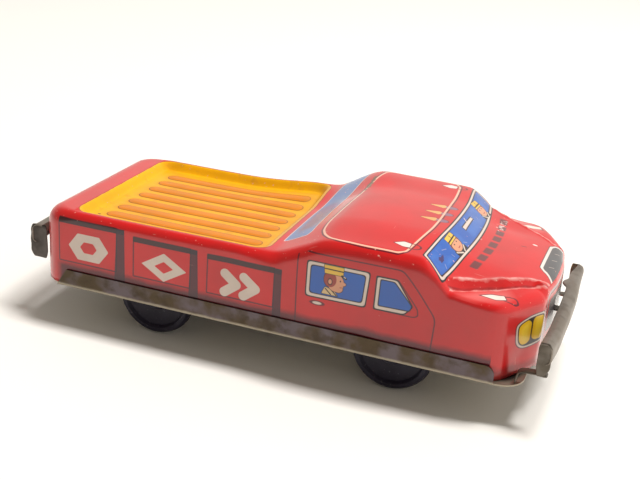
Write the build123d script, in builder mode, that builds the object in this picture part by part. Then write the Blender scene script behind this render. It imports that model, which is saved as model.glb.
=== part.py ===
from build123d import *
import os
from math import acos, atan2, cos, hypot, pi, radians, sin, sqrt, tan

# Clockwork tinplate pick-up truck, millimetres.
# Origin on the ground under the middle of the chassis: +X to the nose, +Y to the truck's left, +Z up.

# ---------------------------------------------------------------- driving dimensions
TIN = 0.4                      # sheet thickness of the pressed body
CHASSIS_TIN = 0.35             # sheet thickness of the chassis pan
PLATE = 0.8                    # motor side plates and brackets
RUNNING = 0.05                 # radial clearance of a shaft in its hole

WHEEL_RADIUS = 8.87
WHEEL_OUTER_Y = 20.5
WHEEL_WIDTH = 3.0
AXLE_RADIUS = 1.0
REAR_AXLE_X = -27.0
FRONT_AXLE_X = 28.0
AXLE_Z = WHEEL_RADIUS

BODY_HALF = 23.3
BODY_BOTTOM = 8.75
TAIL_X = -54.4
NOSE_X = 57.8
TAIL_CORNER = 5.4
SHOULDER_RADIUS = 3.0
RIM_Z = 25.9                   # top of the tray's rim

CHASSIS_BOTTOM = 8.3
CHASSIS_TOP = CHASSIS_BOTTOM + CHASSIS_TIN
FLANGE_TOP = 12.3
FLANGE_HALF_LENGTH = 50.0
PAN_REAR_X = -53.2
PAN_FRONT_X = 55.5
FLANGE_INNER = 23.4
FLANGE_OUTER = FLANGE_INNER + CHASSIS_TIN

TRAY_REAR_X = -46.8
TRAY_FRONT_X = -1.2
TRAY_HALF = 21.2
TRAY_FLOOR_Z = 24.05
TRAY_SLOPE = 1.7
RIB_COUNT = 7
RIB_PITCH = 4.9
RIB_WIDTH = 2.5
RIB_HEIGHT = 0.25

BUMPER_FACE = 4.3              # height of a bumper's face
BUMPER_RETURN = 2.5            # depth of its returns towards the body
BUMPER_SHEET = 0.5
BUMPER_BOW = 0.8
CHEEK_DROP = 7.6               # how far its end cheeks reach below its top
CHEEK_SET_BACK = 0.9
ARM_Z = 11.7                   # the front bumper also stands on the pan by two arms
ARM_REACH = 6.9
TONGUE_Z = 16.9
TONGUE_HALF = 2.4

# Gear train: the drive gear turns the second pinion, and the second gear turns the axle pinion.
MODULE = 0.5
PRESSURE_ANGLE = radians(20)
ADDENDUM = 0.65
DEDENDUM = 1.2
BACKLASH = 0.12
DRIVE_TEETH = 33
SECOND_PINION_TEETH = 10
SECOND_TEETH = 32
AXLE_PINION_TEETH = 10
SECOND_Z = 13.0
WINDING_Z = 14.4

# Where things lie across the motor, along Y.
MOTOR_INNER = 8.6
MOTOR_OUTER = MOTOR_INNER + PLATE
SPRING_Y = (-8.0, -1.0)
RATCHET_Y = (-0.5, 0.5)
CLICK_Y = (0.0, 0.5)
DRIVE_Y = (0.7, 1.5)
SECOND_PINION_Y = (0.1, 2.1)
SECOND_GEAR_Y = (3.4, 4.2)
AXLE_PINION_Y = (2.8, 4.8)

WINDING_RADIUS = 1.5
SPRING_CORE_RADIUS = 2.0
SECOND_SHAFT_RADIUS = 1.0
SECOND_JOURNAL_RADIUS = 0.7
PILLAR_RADIUS = 1.5
PILLAR_JOURNAL_RADIUS = 0.9
RIVET_RADIUS = 0.5
KEY_Y = 24.3
KEY_TIP_Y = 38.0
KEY_HOLE_RADIUS = 2.2

# ---------------------------------------------------------------- worked-out places
SECOND_DISTANCE = MODULE * (SECOND_TEETH + AXLE_PINION_TEETH) / 2
WINDING_DISTANCE = MODULE * (DRIVE_TEETH + SECOND_PINION_TEETH) / 2
SECOND_X = REAR_AXLE_X + sqrt(SECOND_DISTANCE**2 - (SECOND_Z - AXLE_Z) ** 2)
WINDING_X = SECOND_X + sqrt(WINDING_DISTANCE**2 - (WINDING_Z - SECOND_Z) ** 2)
REAR_CENTRE = (REAR_AXLE_X, AXLE_Z)
SECOND_CENTRE = (SECOND_X, SECOND_Z)
WINDING_CENTRE = (WINDING_X, WINDING_Z)
MOTOR_FEET = [(x, side * 11.9) for x in (-33.5, 5.0) for side in (-1, 1)]
BRACKET_FEET = [(FRONT_AXLE_X + dx, side * 15.0) for dx in (-4.2, 4.2) for side in (-1, 1)]
PILLARS = {
    "motor_pillar_front": (5.2, 12.6),
    "spring_pillar": (4.0, 20.0),
    "motor_pillar_rear": (-33.0, 12.2),
}

os.makedirs("parts", exist_ok=True)


def save(builder, name):
    """Labels a finished piece and writes it as parts/NAME.step."""
    builder.part.label = name
    export_step(builder.part, f"parts/{name}.step")


def bar(centre, y_from, y_to, radius, mode=Mode.ADD):
    """A round bar, or a hole, that runs along Y."""
    with BuildSketch(Plane.XZ.offset(-y_from)) as end:
        with Locations(centre):
            Circle(radius)
    extrude(end.sketch, amount=-(y_to - y_from), mode=mode)


def block(low, high, mode=Mode.ADD):
    """A box between two opposite corners."""
    size = [b - a for a, b in zip(low, high)]
    middle = [(a + b) / 2 for a, b in zip(low, high)]
    with Locations(tuple(middle)):
        Box(*size, mode=mode)


def rivet_holes(places):
    """Holes for the rivets through feet that stand on the chassis pan."""
    for x, y in places:
        with Locations((x, y, CHASSIS_TOP + PLATE / 2)):
            Cylinder(RIVET_RADIUS, 2 * PLATE, mode=Mode.SUBTRACT)


# ---------------------------------------------------------------- pressed body
def tail_and_nose():
    """Body sections from tail to nose: x, half width, shoulder height, crown height."""
    rows = []
    for turn in (0, 22.5, 45, 67.5):
        back = TAIL_CORNER * (1 - sin(radians(turn)))
        drop = SHOULDER_RADIUS * (1 - sin(radians(turn)))
        x = TAIL_X + TAIL_CORNER * (1 - cos(radians(turn)))
        rows.append((x, BODY_HALF - back, RIM_Z - drop, RIM_Z + 0.1 - drop))
    rows += [
        (TAIL_X + TAIL_CORNER, BODY_HALF, RIM_Z, RIM_Z + 0.1),
        (TRAY_FRONT_X, BODY_HALF, RIM_Z, RIM_Z + 0.1),
        (2.5, BODY_HALF, 28.0, 27.9),
        (7.5, BODY_HALF, 31.2, 31.2),
        (11.0, BODY_HALF, 32.1, 33.3),
        (20.0, BODY_HALF, 32.2, 33.9),
        (30.0, BODY_HALF, 31.9, 33.7),
        (33.5, BODY_HALF, 30.6, 33.0),
        (38.0, BODY_HALF, 27.2, 30.1),
        (41.0, BODY_HALF, 26.6, 29.2),
        (49.5, BODY_HALF, 25.4, 28.4),
        (52.2, 21.2, 24.7, 28.0),
        (54.6, 18.2, 23.8, 27.2),
        (56.5, 14.6, 22.6, 26.0),
        (57.4, 11.0, 21.2, 24.6),
        (NOSE_X, 8.0, 19.6, 22.6),
    ]
    return rows


def body_sections(inset, bottom):
    """Faces across the body, all set in from the outside by the same distance."""
    faces = []
    corner = SHOULDER_RADIUS - inset
    for x, half_width, shoulder, crown in tail_and_nose():
        if x < -47:
            x += inset
        if x > 50:
            x -= inset
        half = half_width - inset
        top = shoulder - inset
        knee = corner * (1 - sqrt(0.5))
        with BuildSketch(Plane.YZ.offset(x)) as across:
            with BuildLine():
                Line((-half, bottom), (-half, top - corner))
                ThreePointArc((-half, top - corner), (knee - half, top - knee), (corner - half, top))
                ThreePointArc((corner - half, top), (0, max(crown - inset, top + 0.02)), (half - corner, top))
                ThreePointArc((half - corner, top), (half - knee, top - knee), (half, top - corner))
                Line((half, top - corner), (half, bottom))
                Line((half, bottom), (-half, bottom))
            make_face()
        faces.append(across.sketch)
    return faces


def tray_face(z, grow):
    """The tray's outline at one height: its walls slope in towards the floor."""
    slope = TRAY_SLOPE * (RIM_Z - z) / (RIM_Z - TRAY_FLOOR_Z)
    length = TRAY_FRONT_X - TRAY_REAR_X + 2 * (grow - slope)
    width = 2 * (TRAY_HALF + grow - slope)
    with BuildSketch(Plane.XY.offset(z)) as outline:
        with Locations(((TRAY_FRONT_X + TRAY_REAR_X) / 2, 0)):
            RectangleRounded(length, width, 2.0)
    return outline.sketch


with BuildPart() as body_shell:
    loft(sections=body_sections(0, BODY_BOTTOM), ruled=True)
    loft(sections=body_sections(TIN, BODY_BOTTOM - 1), ruled=True, mode=Mode.SUBTRACT)
    # The cargo tray is pressed down into the top of the same sheet, with ribs in its floor.
    loft(sections=[tray_face(TRAY_FLOOR_Z - TIN, TIN), tray_face(RIM_Z - TIN / 2, TIN)])
    loft(sections=[tray_face(TRAY_FLOOR_Z, 0), tray_face(RIM_Z + 1.0, 0)], mode=Mode.SUBTRACT)
    with BuildSketch(Plane.XY.offset(TRAY_FLOOR_Z - 0.1)):
        with Locations((-23.25, 0)):
            with GridLocations(0, RIB_PITCH, 1, RIB_COUNT):
                SlotOverall(37.1, RIB_WIDTH)
    extrude(amount=RIB_HEIGHT + 0.1)
    # Hole for the winding key on the left, and slots for the bumper tongues in nose and tail.
    bar(WINDING_CENTRE, BODY_HALF - 2, BODY_HALF + 1, KEY_HOLE_RADIUS, mode=Mode.SUBTRACT)
    for x in (TAIL_X, NOSE_X):
        half = TONGUE_HALF + 0.4
        block((x - 2, -half, TONGUE_Z - 0.3), (x + 2, half, TONGUE_Z + 0.8), mode=Mode.SUBTRACT)
    # Tabs that go through the chassis pan and are bent in under it.
    for x in (-42.0, 0.0, 42.0):
        for side in (-1, 1):
            wall = sorted((side * 22.5, side * 23.0))
            foot = sorted((side * 20.0, side * 23.0))
            block((x - 2.5, wall[0], CHASSIS_BOTTOM - 0.5), (x + 2.5, wall[1], BODY_BOTTOM + 2))
            block((x - 2.5, foot[0], CHASSIS_BOTTOM - 0.5), (x + 2.5, foot[1], CHASSIS_BOTTOM - 0.1))
save(body_shell, "body_shell")


# ---------------------------------------------------------------- chassis pan
with BuildPart() as base_plate:
    with BuildSketch(Plane.XY.offset(CHASSIS_BOTTOM)):
        with BuildLine():
            FilletPolyline((PAN_REAR_X, -FLANGE_INNER), (PAN_FRONT_X, -FLANGE_INNER),
                           (PAN_FRONT_X, FLANGE_INNER), (PAN_REAR_X, FLANGE_INNER), close=True, radius=5.0)
        make_face()
        # Openings: motor well, front axle well, axle slots, wheel cut-outs.
        with Locations((-14.0, 0)):
            Rectangle(49.0, 20.4, mode=Mode.SUBTRACT)
        with Locations((FRONT_AXLE_X, 0)):
            Rectangle(11.0, 26.8, mode=Mode.SUBTRACT)
        for axle_x in (REAR_AXLE_X, FRONT_AXLE_X):
            with Locations((axle_x, 0)):
                Rectangle(6.4, 36.0, mode=Mode.SUBTRACT)
            with Locations((axle_x, -19.1), (axle_x, 19.1)):
                RectangleRounded(2 * WHEEL_RADIUS + 1.6, 4.6, 0.6, mode=Mode.SUBTRACT)
        # Slots that the body's tabs go through.
        with GridLocations(42.0, 2 * 22.72, 3, 2):
            Rectangle(5.6, 0.9, mode=Mode.SUBTRACT)
        with Locations(*MOTOR_FEET, *BRACKET_FEET):
            Circle(RIVET_RADIUS, mode=Mode.SUBTRACT)
    extrude(amount=CHASSIS_TIN)
    # Side flanges, turned up outside the body: the rear end is cut at a slant.
    for side in (-1, 1):
        with BuildSketch(Plane.XZ.offset(-side * (FLANGE_INNER + FLANGE_OUTER) / 2)):
            with BuildLine():
                end = FLANGE_HALF_LENGTH
                Polyline((-end, CHASSIS_BOTTOM), (end, CHASSIS_BOTTOM), (end, FLANGE_TOP - 2.0))
                ThreePointArc((end, FLANGE_TOP - 2.0), (end - 0.6, FLANGE_TOP - 0.6), (end - 2.0, FLANGE_TOP))
                Polyline((end - 2.0, FLANGE_TOP), (-end + 2.5, FLANGE_TOP), (-end, CHASSIS_BOTTOM))
            make_face()
        extrude(amount=CHASSIS_TIN / 2, both=True)
    bends = base_plate.edges().filter_by(Axis.X).group_by(Axis.Z)[0].sort_by(Axis.Y)
    fillet([bends[0], bends[-1]], radius=0.3)
save(base_plate, "base_plate")


# ---------------------------------------------------------------- bumpers
def bumper_plan(reach, half, depth):
    """Plan of one layer of a bumper: a bowed strip, cut square at its ends."""
    ends = reach - BUMPER_BOW
    with BuildLine() as line:
        ThreePointArc((ends, -half), (reach, 0), (ends, half))
        Line((ends, half), (ends - depth, half))
        ThreePointArc((ends - depth, half), (reach - depth, 0), (ends - depth, -half))
        Line((ends - depth, -half), (ends, -half))
    return make_face(line.edges(), mode=Mode.PRIVATE)


def bumper(ways, reach, half, top, arms):
    """A bowed channel open towards the body, with end cheeks and a tongue that goes into the body."""
    with BuildPart() as channel:
        low = top - BUMPER_FACE
        layers = (
            (low, BUMPER_FACE, BUMPER_SHEET),
            (low, BUMPER_SHEET, BUMPER_RETURN),
            (top - BUMPER_SHEET, BUMPER_SHEET, BUMPER_RETURN),
        )
        for z, height, depth in layers:
            plane = Plane(origin=(0, 0, z), x_dir=(ways, 0, 0), z_dir=(0, 0, 1))
            with BuildSketch(plane) as strip:
                add(bumper_plan(reach, half, depth))
            extrude(strip.sketch, amount=height)
        tongue = sorted((ways * (reach - BUMPER_SHEET), ways * (reach - 7.0)))
        block((tongue[0], -TONGUE_HALF, TONGUE_Z), (tongue[1], TONGUE_HALF, TONGUE_Z + BUMPER_SHEET))
        front = reach - CHEEK_SET_BACK
        cheek = sorted((ways * front, ways * (front - BUMPER_RETURN)))
        for side in (-1, 1):
            wall = sorted((side * half, side * (half - BUMPER_SHEET)))
            block((cheek[0], wall[0], top - CHEEK_DROP), (cheek[1], wall[1], top))
            if arms:
                # The cheek turns in at its foot, runs back under the nose and down to the pan.
                back = front - ARM_REACH
                turn_in = sorted((side * half, side * (half - 3.2)))
                arm = sorted((side * (half - 1.2), side * (half - 3.2)))
                block((cheek[0], turn_in[0], ARM_Z), (cheek[1], turn_in[1], ARM_Z + BUMPER_SHEET))
                block((back, arm[0], ARM_Z), (cheek[0], arm[1], ARM_Z + BUMPER_SHEET))
                block((back, arm[0], CHASSIS_TOP), (back + BUMPER_SHEET, arm[1], ARM_Z + BUMPER_SHEET))
    return channel


front_bumper = bumper(1, 61.4, 22.8, ARM_Z + CHEEK_DROP, arms=True)
save(front_bumper, "front_bumper")
rear_bumper = bumper(-1, 59.6, 20.6, 20.3, arms=False)
save(rear_bumper, "rear_bumper")


# ---------------------------------------------------------------- wheels and axles
def axle(x):
    """A plain steel axle, a little longer than the track."""
    with BuildPart() as rod:
        bar((x, AXLE_Z), -WHEEL_OUTER_Y - 0.4, WHEEL_OUTER_Y + 0.4, AXLE_RADIUS)
    return rod


def wheel(x, side):
    """A pressed disc wheel with a dished face, a rolled tread and a hub on its inner side."""
    outer = side * WHEEL_OUTER_Y
    inner = side * (WHEEL_OUTER_Y - WHEEL_WIDTH)
    hub = side * (WHEEL_OUTER_Y - WHEEL_WIDTH - 1.3)
    with BuildPart() as disc:
        with BuildSketch(Plane.XY.offset(AXLE_Z)):
            with BuildLine():
                Polyline((x + AXLE_RADIUS, hub), (x + 2.6, hub), (x + 2.6, inner), (x + 8.2, inner))
                ThreePointArc((x + 8.2, inner), (x + WHEEL_RADIUS, (inner + outer) / 2), (x + 8.2, outer))
                Polyline((x + 8.2, outer), (x + 7.4, outer), (x + 6.9, outer - side * 0.7),
                         (x + 3.2, outer - side * 0.7), (x + 2.7, outer), (x + AXLE_RADIUS, outer),
                         (x + AXLE_RADIUS, hub))
            make_face()
        revolve(axis=Axis((x, 0, AXLE_Z), (0, 1, 0)))
    return disc


for end, axle_x in (("front", FRONT_AXLE_X), ("rear", REAR_AXLE_X)):
    save(axle(axle_x), f"{end}_axle")
    save(wheel(axle_x, 1), f"{end}_wheel_left")
    save(wheel(axle_x, -1), f"{end}_wheel_right")


# ---------------------------------------------------------------- front axle bracket
with BuildPart() as front_axle_bracket:
    for side in (-1, 1):
        cheek = sorted((side * 12.4, side * 13.2))
        block((FRONT_AXLE_X - 5.3, cheek[0], 6.4), (FRONT_AXLE_X + 5.3, cheek[1], 12.0))
        foot = sorted((side * 12.4, side * 16.2))
        for dx in (-4.2, 4.2):
            low_x = FRONT_AXLE_X + dx - 1.0
            block((low_x, foot[0], CHASSIS_TOP), (low_x + 2.0, foot[1], CHASSIS_TOP + PLATE))
    block((FRONT_AXLE_X - 5.3, -13.2, 11.2), (FRONT_AXLE_X + 5.3, 13.2, 12.0))
    bar((FRONT_AXLE_X, AXLE_Z), -14, 14, AXLE_RADIUS + RUNNING, mode=Mode.SUBTRACT)
    rivet_holes(BRACKET_FEET)
save(front_axle_bracket, "front_axle_bracket")


# ---------------------------------------------------------------- motor frame
def motor_plate(side):
    """One of the two side plates that hold every arbor, with two feet on the chassis pan."""
    inner, outer = side * MOTOR_INNER, side * MOTOR_OUTER
    with BuildPart() as plate:
        with BuildSketch(Plane.XZ.offset(-(inner + outer) / 2)):
            with BuildLine():
                FilletPolyline((-36.6, 14.6), (-36.6, 8.8), (-31.5, 5.4), (6.2, 5.4), (8.4, 8.0), (8.4, 22.4),
                               (-12.5, 22.4), (-30.0, 17.6), close=True, radius=1.2)
            make_face()
            with Locations((-24.5, 14.6), (-1.5, 9.0)):
                Circle(1.6, mode=Mode.SUBTRACT)
        extrude(amount=PLATE / 2, both=True)
        foot = sorted((side * (MOTOR_INNER + 0.1), side * 14.0))
        for x, y in MOTOR_FEET:
            if y * side > 0:
                block((x - 2.4, foot[0], CHASSIS_TOP), (x + 2.4, foot[1], CHASSIS_TOP + PLATE))
        rivet_holes([(x, y) for x, y in MOTOR_FEET if y * side > 0])
        low_y, high_y = sorted((side * (MOTOR_INNER - 1), side * (MOTOR_OUTER + 1)))
        bar(REAR_CENTRE, low_y, high_y, AXLE_RADIUS + RUNNING, mode=Mode.SUBTRACT)
        bar(SECOND_CENTRE, low_y, high_y, SECOND_JOURNAL_RADIUS + RUNNING, mode=Mode.SUBTRACT)
        bar(WINDING_CENTRE, low_y, high_y, WINDING_RADIUS + RUNNING, mode=Mode.SUBTRACT)
        for centre in PILLARS.values():
            bar(centre, low_y, high_y, PILLAR_JOURNAL_RADIUS, mode=Mode.SUBTRACT)
    return plate


motor_plate_left = motor_plate(1)
save(motor_plate_left, "motor_plate_left")
motor_plate_right = motor_plate(-1)
save(motor_plate_right, "motor_plate_right")

for pillar_name, pillar_centre in PILLARS.items():
    with BuildPart() as pillar:
        bar(pillar_centre, -MOTOR_INNER, MOTOR_INNER, PILLAR_RADIUS)
        bar(pillar_centre, -MOTOR_OUTER - 0.5, MOTOR_OUTER + 0.5, PILLAR_JOURNAL_RADIUS)
        for head in (-MOTOR_OUTER - 0.5, MOTOR_OUTER):
            bar(pillar_centre, head, head + 0.5, 1.3)
    save(pillar, pillar_name)

with BuildPart() as chassis_rivets:
    # Rivets through the feet of the motor plates and of the front axle bracket.
    for x, y in MOTOR_FEET + BRACKET_FEET:
        with Locations((x, y, CHASSIS_BOTTOM - 0.45)):
            Cylinder(1.1, 0.45, align=(Align.CENTER, Align.CENTER, Align.MIN))
        with Locations((x, y, CHASSIS_TOP + PLATE)):
            Cylinder(0.9, 0.35, align=(Align.CENTER, Align.CENTER, Align.MIN))
        with Locations((x, y, CHASSIS_BOTTOM)):
            Cylinder(RIVET_RADIUS, CHASSIS_TIN + PLATE, align=(Align.CENTER, Align.CENTER, Align.MIN))
save(chassis_rivets, "chassis_rivets")


# ---------------------------------------------------------------- gears
def gear_outline(teeth, centre, phase):
    """Outline of a spur gear with involute flanks and stub teeth; one tooth stands at the phase angle."""
    pitch = MODULE * teeth / 2
    base = pitch * cos(PRESSURE_ANGLE)
    tip = pitch + ADDENDUM * MODULE
    root = pitch - DEDENDUM * MODULE
    start = max(base, root)
    half_tooth = pi / (2 * teeth) - BACKLASH / (2 * pitch)
    flank = []
    for step in range(4):
        radius = start + (tip - start) * step / 3
        roll = acos(base / radius)
        flank.append((radius, half_tooth + tan(PRESSURE_ANGLE) - PRESSURE_ANGLE - tan(roll) + roll))
    tooth = [(root, -flank[0][1])] + [(radius, -angle) for radius, angle in flank]
    tooth += [(radius, angle) for radius, angle in reversed(flank)] + [(root, flank[0][1])]
    points = []
    for index in range(teeth):
        turn = phase + 2 * pi * index / teeth
        for radius, angle in tooth:
            points.append((centre[0] + radius * cos(turn + angle), centre[1] + radius * sin(turn + angle)))
    return points


def toothed_disc(outline, y_range):
    """A flat toothed disc between two places along Y."""
    with BuildSketch(Plane.XZ.offset(-y_range[0])) as face:
        Polygon(*outline, align=None)
    extrude(face.sketch, amount=-(y_range[1] - y_range[0]))


def heading(start, finish):
    """The angle of the line from one centre to another."""
    return atan2(finish[1] - start[1], finish[0] - start[0])


def facing_gap(start, finish, teeth):
    """Phase of the gear at finish whose gap takes the tooth that points at it from start."""
    return heading(start, finish) + pi + pi / teeth


AXLE_TO_SECOND = heading(REAR_CENTRE, SECOND_CENTRE)
SECOND_TO_DRIVE = heading(SECOND_CENTRE, WINDING_CENTRE)

with BuildPart() as axle_pinion:
    toothed_disc(gear_outline(AXLE_PINION_TEETH, REAR_CENTRE, AXLE_TO_SECOND), AXLE_PINION_Y)
    bar(REAR_CENTRE, AXLE_PINION_Y[1], AXLE_PINION_Y[1] + 2.6, 1.8)
    bar(REAR_CENTRE, AXLE_PINION_Y[0], AXLE_PINION_Y[1] + 2.6, AXLE_RADIUS, mode=Mode.SUBTRACT)
save(axle_pinion, "axle_pinion")

with BuildPart() as second_gear:
    phase = facing_gap(REAR_CENTRE, SECOND_CENTRE, SECOND_TEETH)
    toothed_disc(gear_outline(SECOND_TEETH, SECOND_CENTRE, phase), SECOND_GEAR_Y)
    for spoke in range(4):
        turn = radians(45 + 90 * spoke)
        hole = (SECOND_X + 4.4 * cos(turn), SECOND_Z + 4.4 * sin(turn))
        bar(hole, SECOND_GEAR_Y[0], SECOND_GEAR_Y[1], 1.7, mode=Mode.SUBTRACT)
    bar(SECOND_CENTRE, SECOND_GEAR_Y[0], SECOND_GEAR_Y[1], SECOND_SHAFT_RADIUS, mode=Mode.SUBTRACT)
save(second_gear, "second_gear")

with BuildPart() as second_pinion:
    outline = gear_outline(SECOND_PINION_TEETH, SECOND_CENTRE, SECOND_TO_DRIVE)
    toothed_disc(outline, SECOND_PINION_Y)
    bar(SECOND_CENTRE, SECOND_PINION_Y[1], SECOND_GEAR_Y[0], 1.8)
    bar(SECOND_CENTRE, SECOND_PINION_Y[0], SECOND_GEAR_Y[0], SECOND_SHAFT_RADIUS, mode=Mode.SUBTRACT)
save(second_pinion, "second_pinion")

with BuildPart() as second_shaft:
    bar(SECOND_CENTRE, 0.3 - MOTOR_INNER, MOTOR_INNER - 0.3, SECOND_SHAFT_RADIUS)
    bar(SECOND_CENTRE, -MOTOR_OUTER - 0.4, MOTOR_OUTER + 0.4, SECOND_JOURNAL_RADIUS)
save(second_shaft, "second_shaft")

# The click is a leaf spring, riveted to the drive gear, whose tip rides on the ratchet.
CLICK_RIVET = (WINDING_X - 5.6, WINDING_Z + 1.6)

with BuildPart() as drive_gear:
    phase = facing_gap(SECOND_CENTRE, WINDING_CENTRE, DRIVE_TEETH)
    toothed_disc(gear_outline(DRIVE_TEETH, WINDING_CENTRE, phase), DRIVE_Y)
    bar(WINDING_CENTRE, DRIVE_Y[0], DRIVE_Y[1], WINDING_RADIUS + RUNNING, mode=Mode.SUBTRACT)
    bar(CLICK_RIVET, DRIVE_Y[0], DRIVE_Y[1], 0.5, mode=Mode.SUBTRACT)
save(drive_gear, "drive_gear")

RATCHET_TIP = 3.3
RATCHET_ROOT = 2.6
RATCHET_TEETH = 12

with BuildPart() as ratchet_wheel:
    teeth = []
    for index in range(RATCHET_TEETH):
        for radius, lag in ((RATCHET_TIP, 0.0), (RATCHET_ROOT, 0.08)):
            turn = 2 * pi * (index + lag) / RATCHET_TEETH
            teeth.append((WINDING_X + radius * cos(turn), WINDING_Z + radius * sin(turn)))
    toothed_disc(teeth, RATCHET_Y)
    bar(WINDING_CENTRE, RATCHET_Y[0], RATCHET_Y[1], WINDING_RADIUS, mode=Mode.SUBTRACT)
save(ratchet_wheel, "ratchet_wheel")

with BuildPart() as click_spring:
    with BuildSketch(Plane.XZ.offset(-CLICK_Y[0])) as leaf:
        with Locations(CLICK_RIVET):
            Circle(1.0)
        with BuildLine():
            Polyline((CLICK_RIVET[0] - 0.5, CLICK_RIVET[1]), (CLICK_RIVET[0] + 0.5, CLICK_RIVET[1]),
                     (WINDING_X - 1.6, WINDING_Z + 3.6), (WINDING_X - 1.8, WINDING_Z + 4.3), close=True)
        make_face()
        with Locations(CLICK_RIVET):
            Circle(0.5, mode=Mode.SUBTRACT)
    extrude(leaf.sketch, amount=-(CLICK_Y[1] - CLICK_Y[0]))
save(click_spring, "click_spring")

with BuildPart() as click_rivet:
    bar(CLICK_RIVET, CLICK_Y[0] - 0.3, DRIVE_Y[1] + 0.3, 0.5)
    bar(CLICK_RIVET, CLICK_Y[0] - 0.3, CLICK_Y[0], 0.9)
    bar(CLICK_RIVET, CLICK_Y[1], DRIVE_Y[0], 0.9)
    bar(CLICK_RIVET, DRIVE_Y[1], DRIVE_Y[1] + 0.3, 0.9)
save(click_rivet, "click_rivet")


# ---------------------------------------------------------------- mainspring, arbor and key
with BuildPart() as winding_arbor:
    bar(WINDING_CENTRE, -MOTOR_OUTER - 0.5, KEY_Y + 6.0, WINDING_RADIUS)
    bar(WINDING_CENTRE, 0.3 - MOTOR_INNER, RATCHET_Y[0] - 0.1, SPRING_CORE_RADIUS)
save(winding_arbor, "winding_arbor")

SPRING_TURNS = 5.5
SPRING_STRIP = 0.3
SPRING_INNER = SPRING_CORE_RADIUS + 0.15
SPRING_OUTER = 8.0


def spiral(offset, end_angle):
    """Points of the wound strip's edge about the arbor, out to where the tail leaves it."""
    points = []
    steps = int(SPRING_TURNS * 12)
    for step in range(steps + 1):
        share = step / steps
        turn = end_angle - 2 * pi * SPRING_TURNS * (1 - share)
        radius = SPRING_INNER + offset + (SPRING_OUTER - SPRING_INNER) * share
        points.append((WINDING_X + radius * cos(turn), WINDING_Z + radius * sin(turn)))
    return points


with BuildPart() as mainspring:
    # The outer end leaves the coil in a straight tail and loops round the spring pillar.
    pillar_centre = PILLARS["spring_pillar"]
    reach = hypot(pillar_centre[0] - WINDING_X, pillar_centre[1] - WINDING_Z)
    leave = heading(WINDING_CENTRE, pillar_centre) - acos((SPRING_OUTER + SPRING_STRIP / 2) / reach)
    inner_edge = spiral(0, leave)
    outer_edge = spiral(SPRING_STRIP, leave)
    tail_end = (
        pillar_centre[0] - PILLAR_RADIUS * cos(leave + pi / 2),
        pillar_centre[1] - PILLAR_RADIUS * sin(leave + pi / 2),
    )
    with BuildSketch(Plane.XZ.offset(-SPRING_Y[0])) as strip:
        with BuildLine():
            Spline(*inner_edge)
            Line(inner_edge[-1], outer_edge[-1])
            Spline(*outer_edge)
            Line(outer_edge[0], inner_edge[0])
        make_face()
        with BuildLine():
            half = (SPRING_STRIP / 2 * cos(leave), SPRING_STRIP / 2 * sin(leave))
            start = [(a + b) / 2 for a, b in zip(inner_edge[-1], outer_edge[-1])]
            back = (start[0] + 0.3 * sin(leave), start[1] - 0.3 * cos(leave))
            Polyline((back[0] - half[0], back[1] - half[1]), (back[0] + half[0], back[1] + half[1]),
                     (tail_end[0] + half[0], tail_end[1] + half[1]),
                     (tail_end[0] - half[0], tail_end[1] - half[1]), close=True)
        make_face()
        with Locations(pillar_centre):
            Circle(PILLAR_RADIUS + 0.1 + SPRING_STRIP)
            Circle(PILLAR_RADIUS + 0.1, mode=Mode.SUBTRACT)
    extrude(strip.sketch, amount=-(SPRING_Y[1] - SPRING_Y[0]))
save(mainspring, "mainspring")

with BuildPart() as winding_key:
    # A butterfly key: a sleeve on the arbor's end and two round ears, flat at rest.
    bar(WINDING_CENTRE, KEY_Y, KEY_Y + 8.5, 2.4)
    with BuildSketch(Plane.XY.offset(WINDING_Z - 0.6)) as ears:
        for side in (-1, 1):
            with Locations((WINDING_X + side * 4.2, KEY_TIP_Y - 4.4)):
                Circle(4.4)
        with Locations((WINDING_X, KEY_TIP_Y - 5.2)):
            Rectangle(6.0, 5.2)
        for side in (-1, 1):
            with Locations((WINDING_X + side * 4.6, KEY_TIP_Y - 4.4)):
                Circle(1.9, mode=Mode.SUBTRACT)
    extrude(ears.sketch, amount=1.2)
    bar(WINDING_CENTRE, KEY_Y - 1, KEY_Y + 6.0, WINDING_RADIUS, mode=Mode.SUBTRACT)
save(winding_key, "winding_key")
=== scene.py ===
"""Visual model of a clockwork tinplate pick-up truck: lithographed body, tarnished pan, bumpers."""
from collections import namedtuple
from math import cos, pi, radians, sin, sqrt, tan

import bpy
import numpy as np
from mathutils import Matrix, Vector, noise


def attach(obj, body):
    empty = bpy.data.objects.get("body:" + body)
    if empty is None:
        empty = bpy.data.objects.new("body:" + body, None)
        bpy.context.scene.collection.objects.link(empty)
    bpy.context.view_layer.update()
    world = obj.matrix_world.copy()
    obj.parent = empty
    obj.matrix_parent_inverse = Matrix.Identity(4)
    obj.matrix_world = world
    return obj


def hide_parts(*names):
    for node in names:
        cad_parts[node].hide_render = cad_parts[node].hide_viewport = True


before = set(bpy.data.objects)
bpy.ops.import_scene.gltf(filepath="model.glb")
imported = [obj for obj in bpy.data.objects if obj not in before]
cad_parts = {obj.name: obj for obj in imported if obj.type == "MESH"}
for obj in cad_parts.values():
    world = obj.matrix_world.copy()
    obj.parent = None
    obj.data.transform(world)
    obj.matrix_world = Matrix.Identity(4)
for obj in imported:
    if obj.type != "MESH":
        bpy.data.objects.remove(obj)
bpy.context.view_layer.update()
MM = 0.001                     # shapes below are in millimetres, and Blender's unit is the metre


# ================================================================ camera
CAMERA_PLACE = (75.39, -213.84, 111.37)
CAMERA_AZIMUTH = radians(18.52)
CAMERA_PITCH = radians(21.685)
CAMERA_ROLL = radians(4.415)
CAMERA_LENS = 60.42


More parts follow.
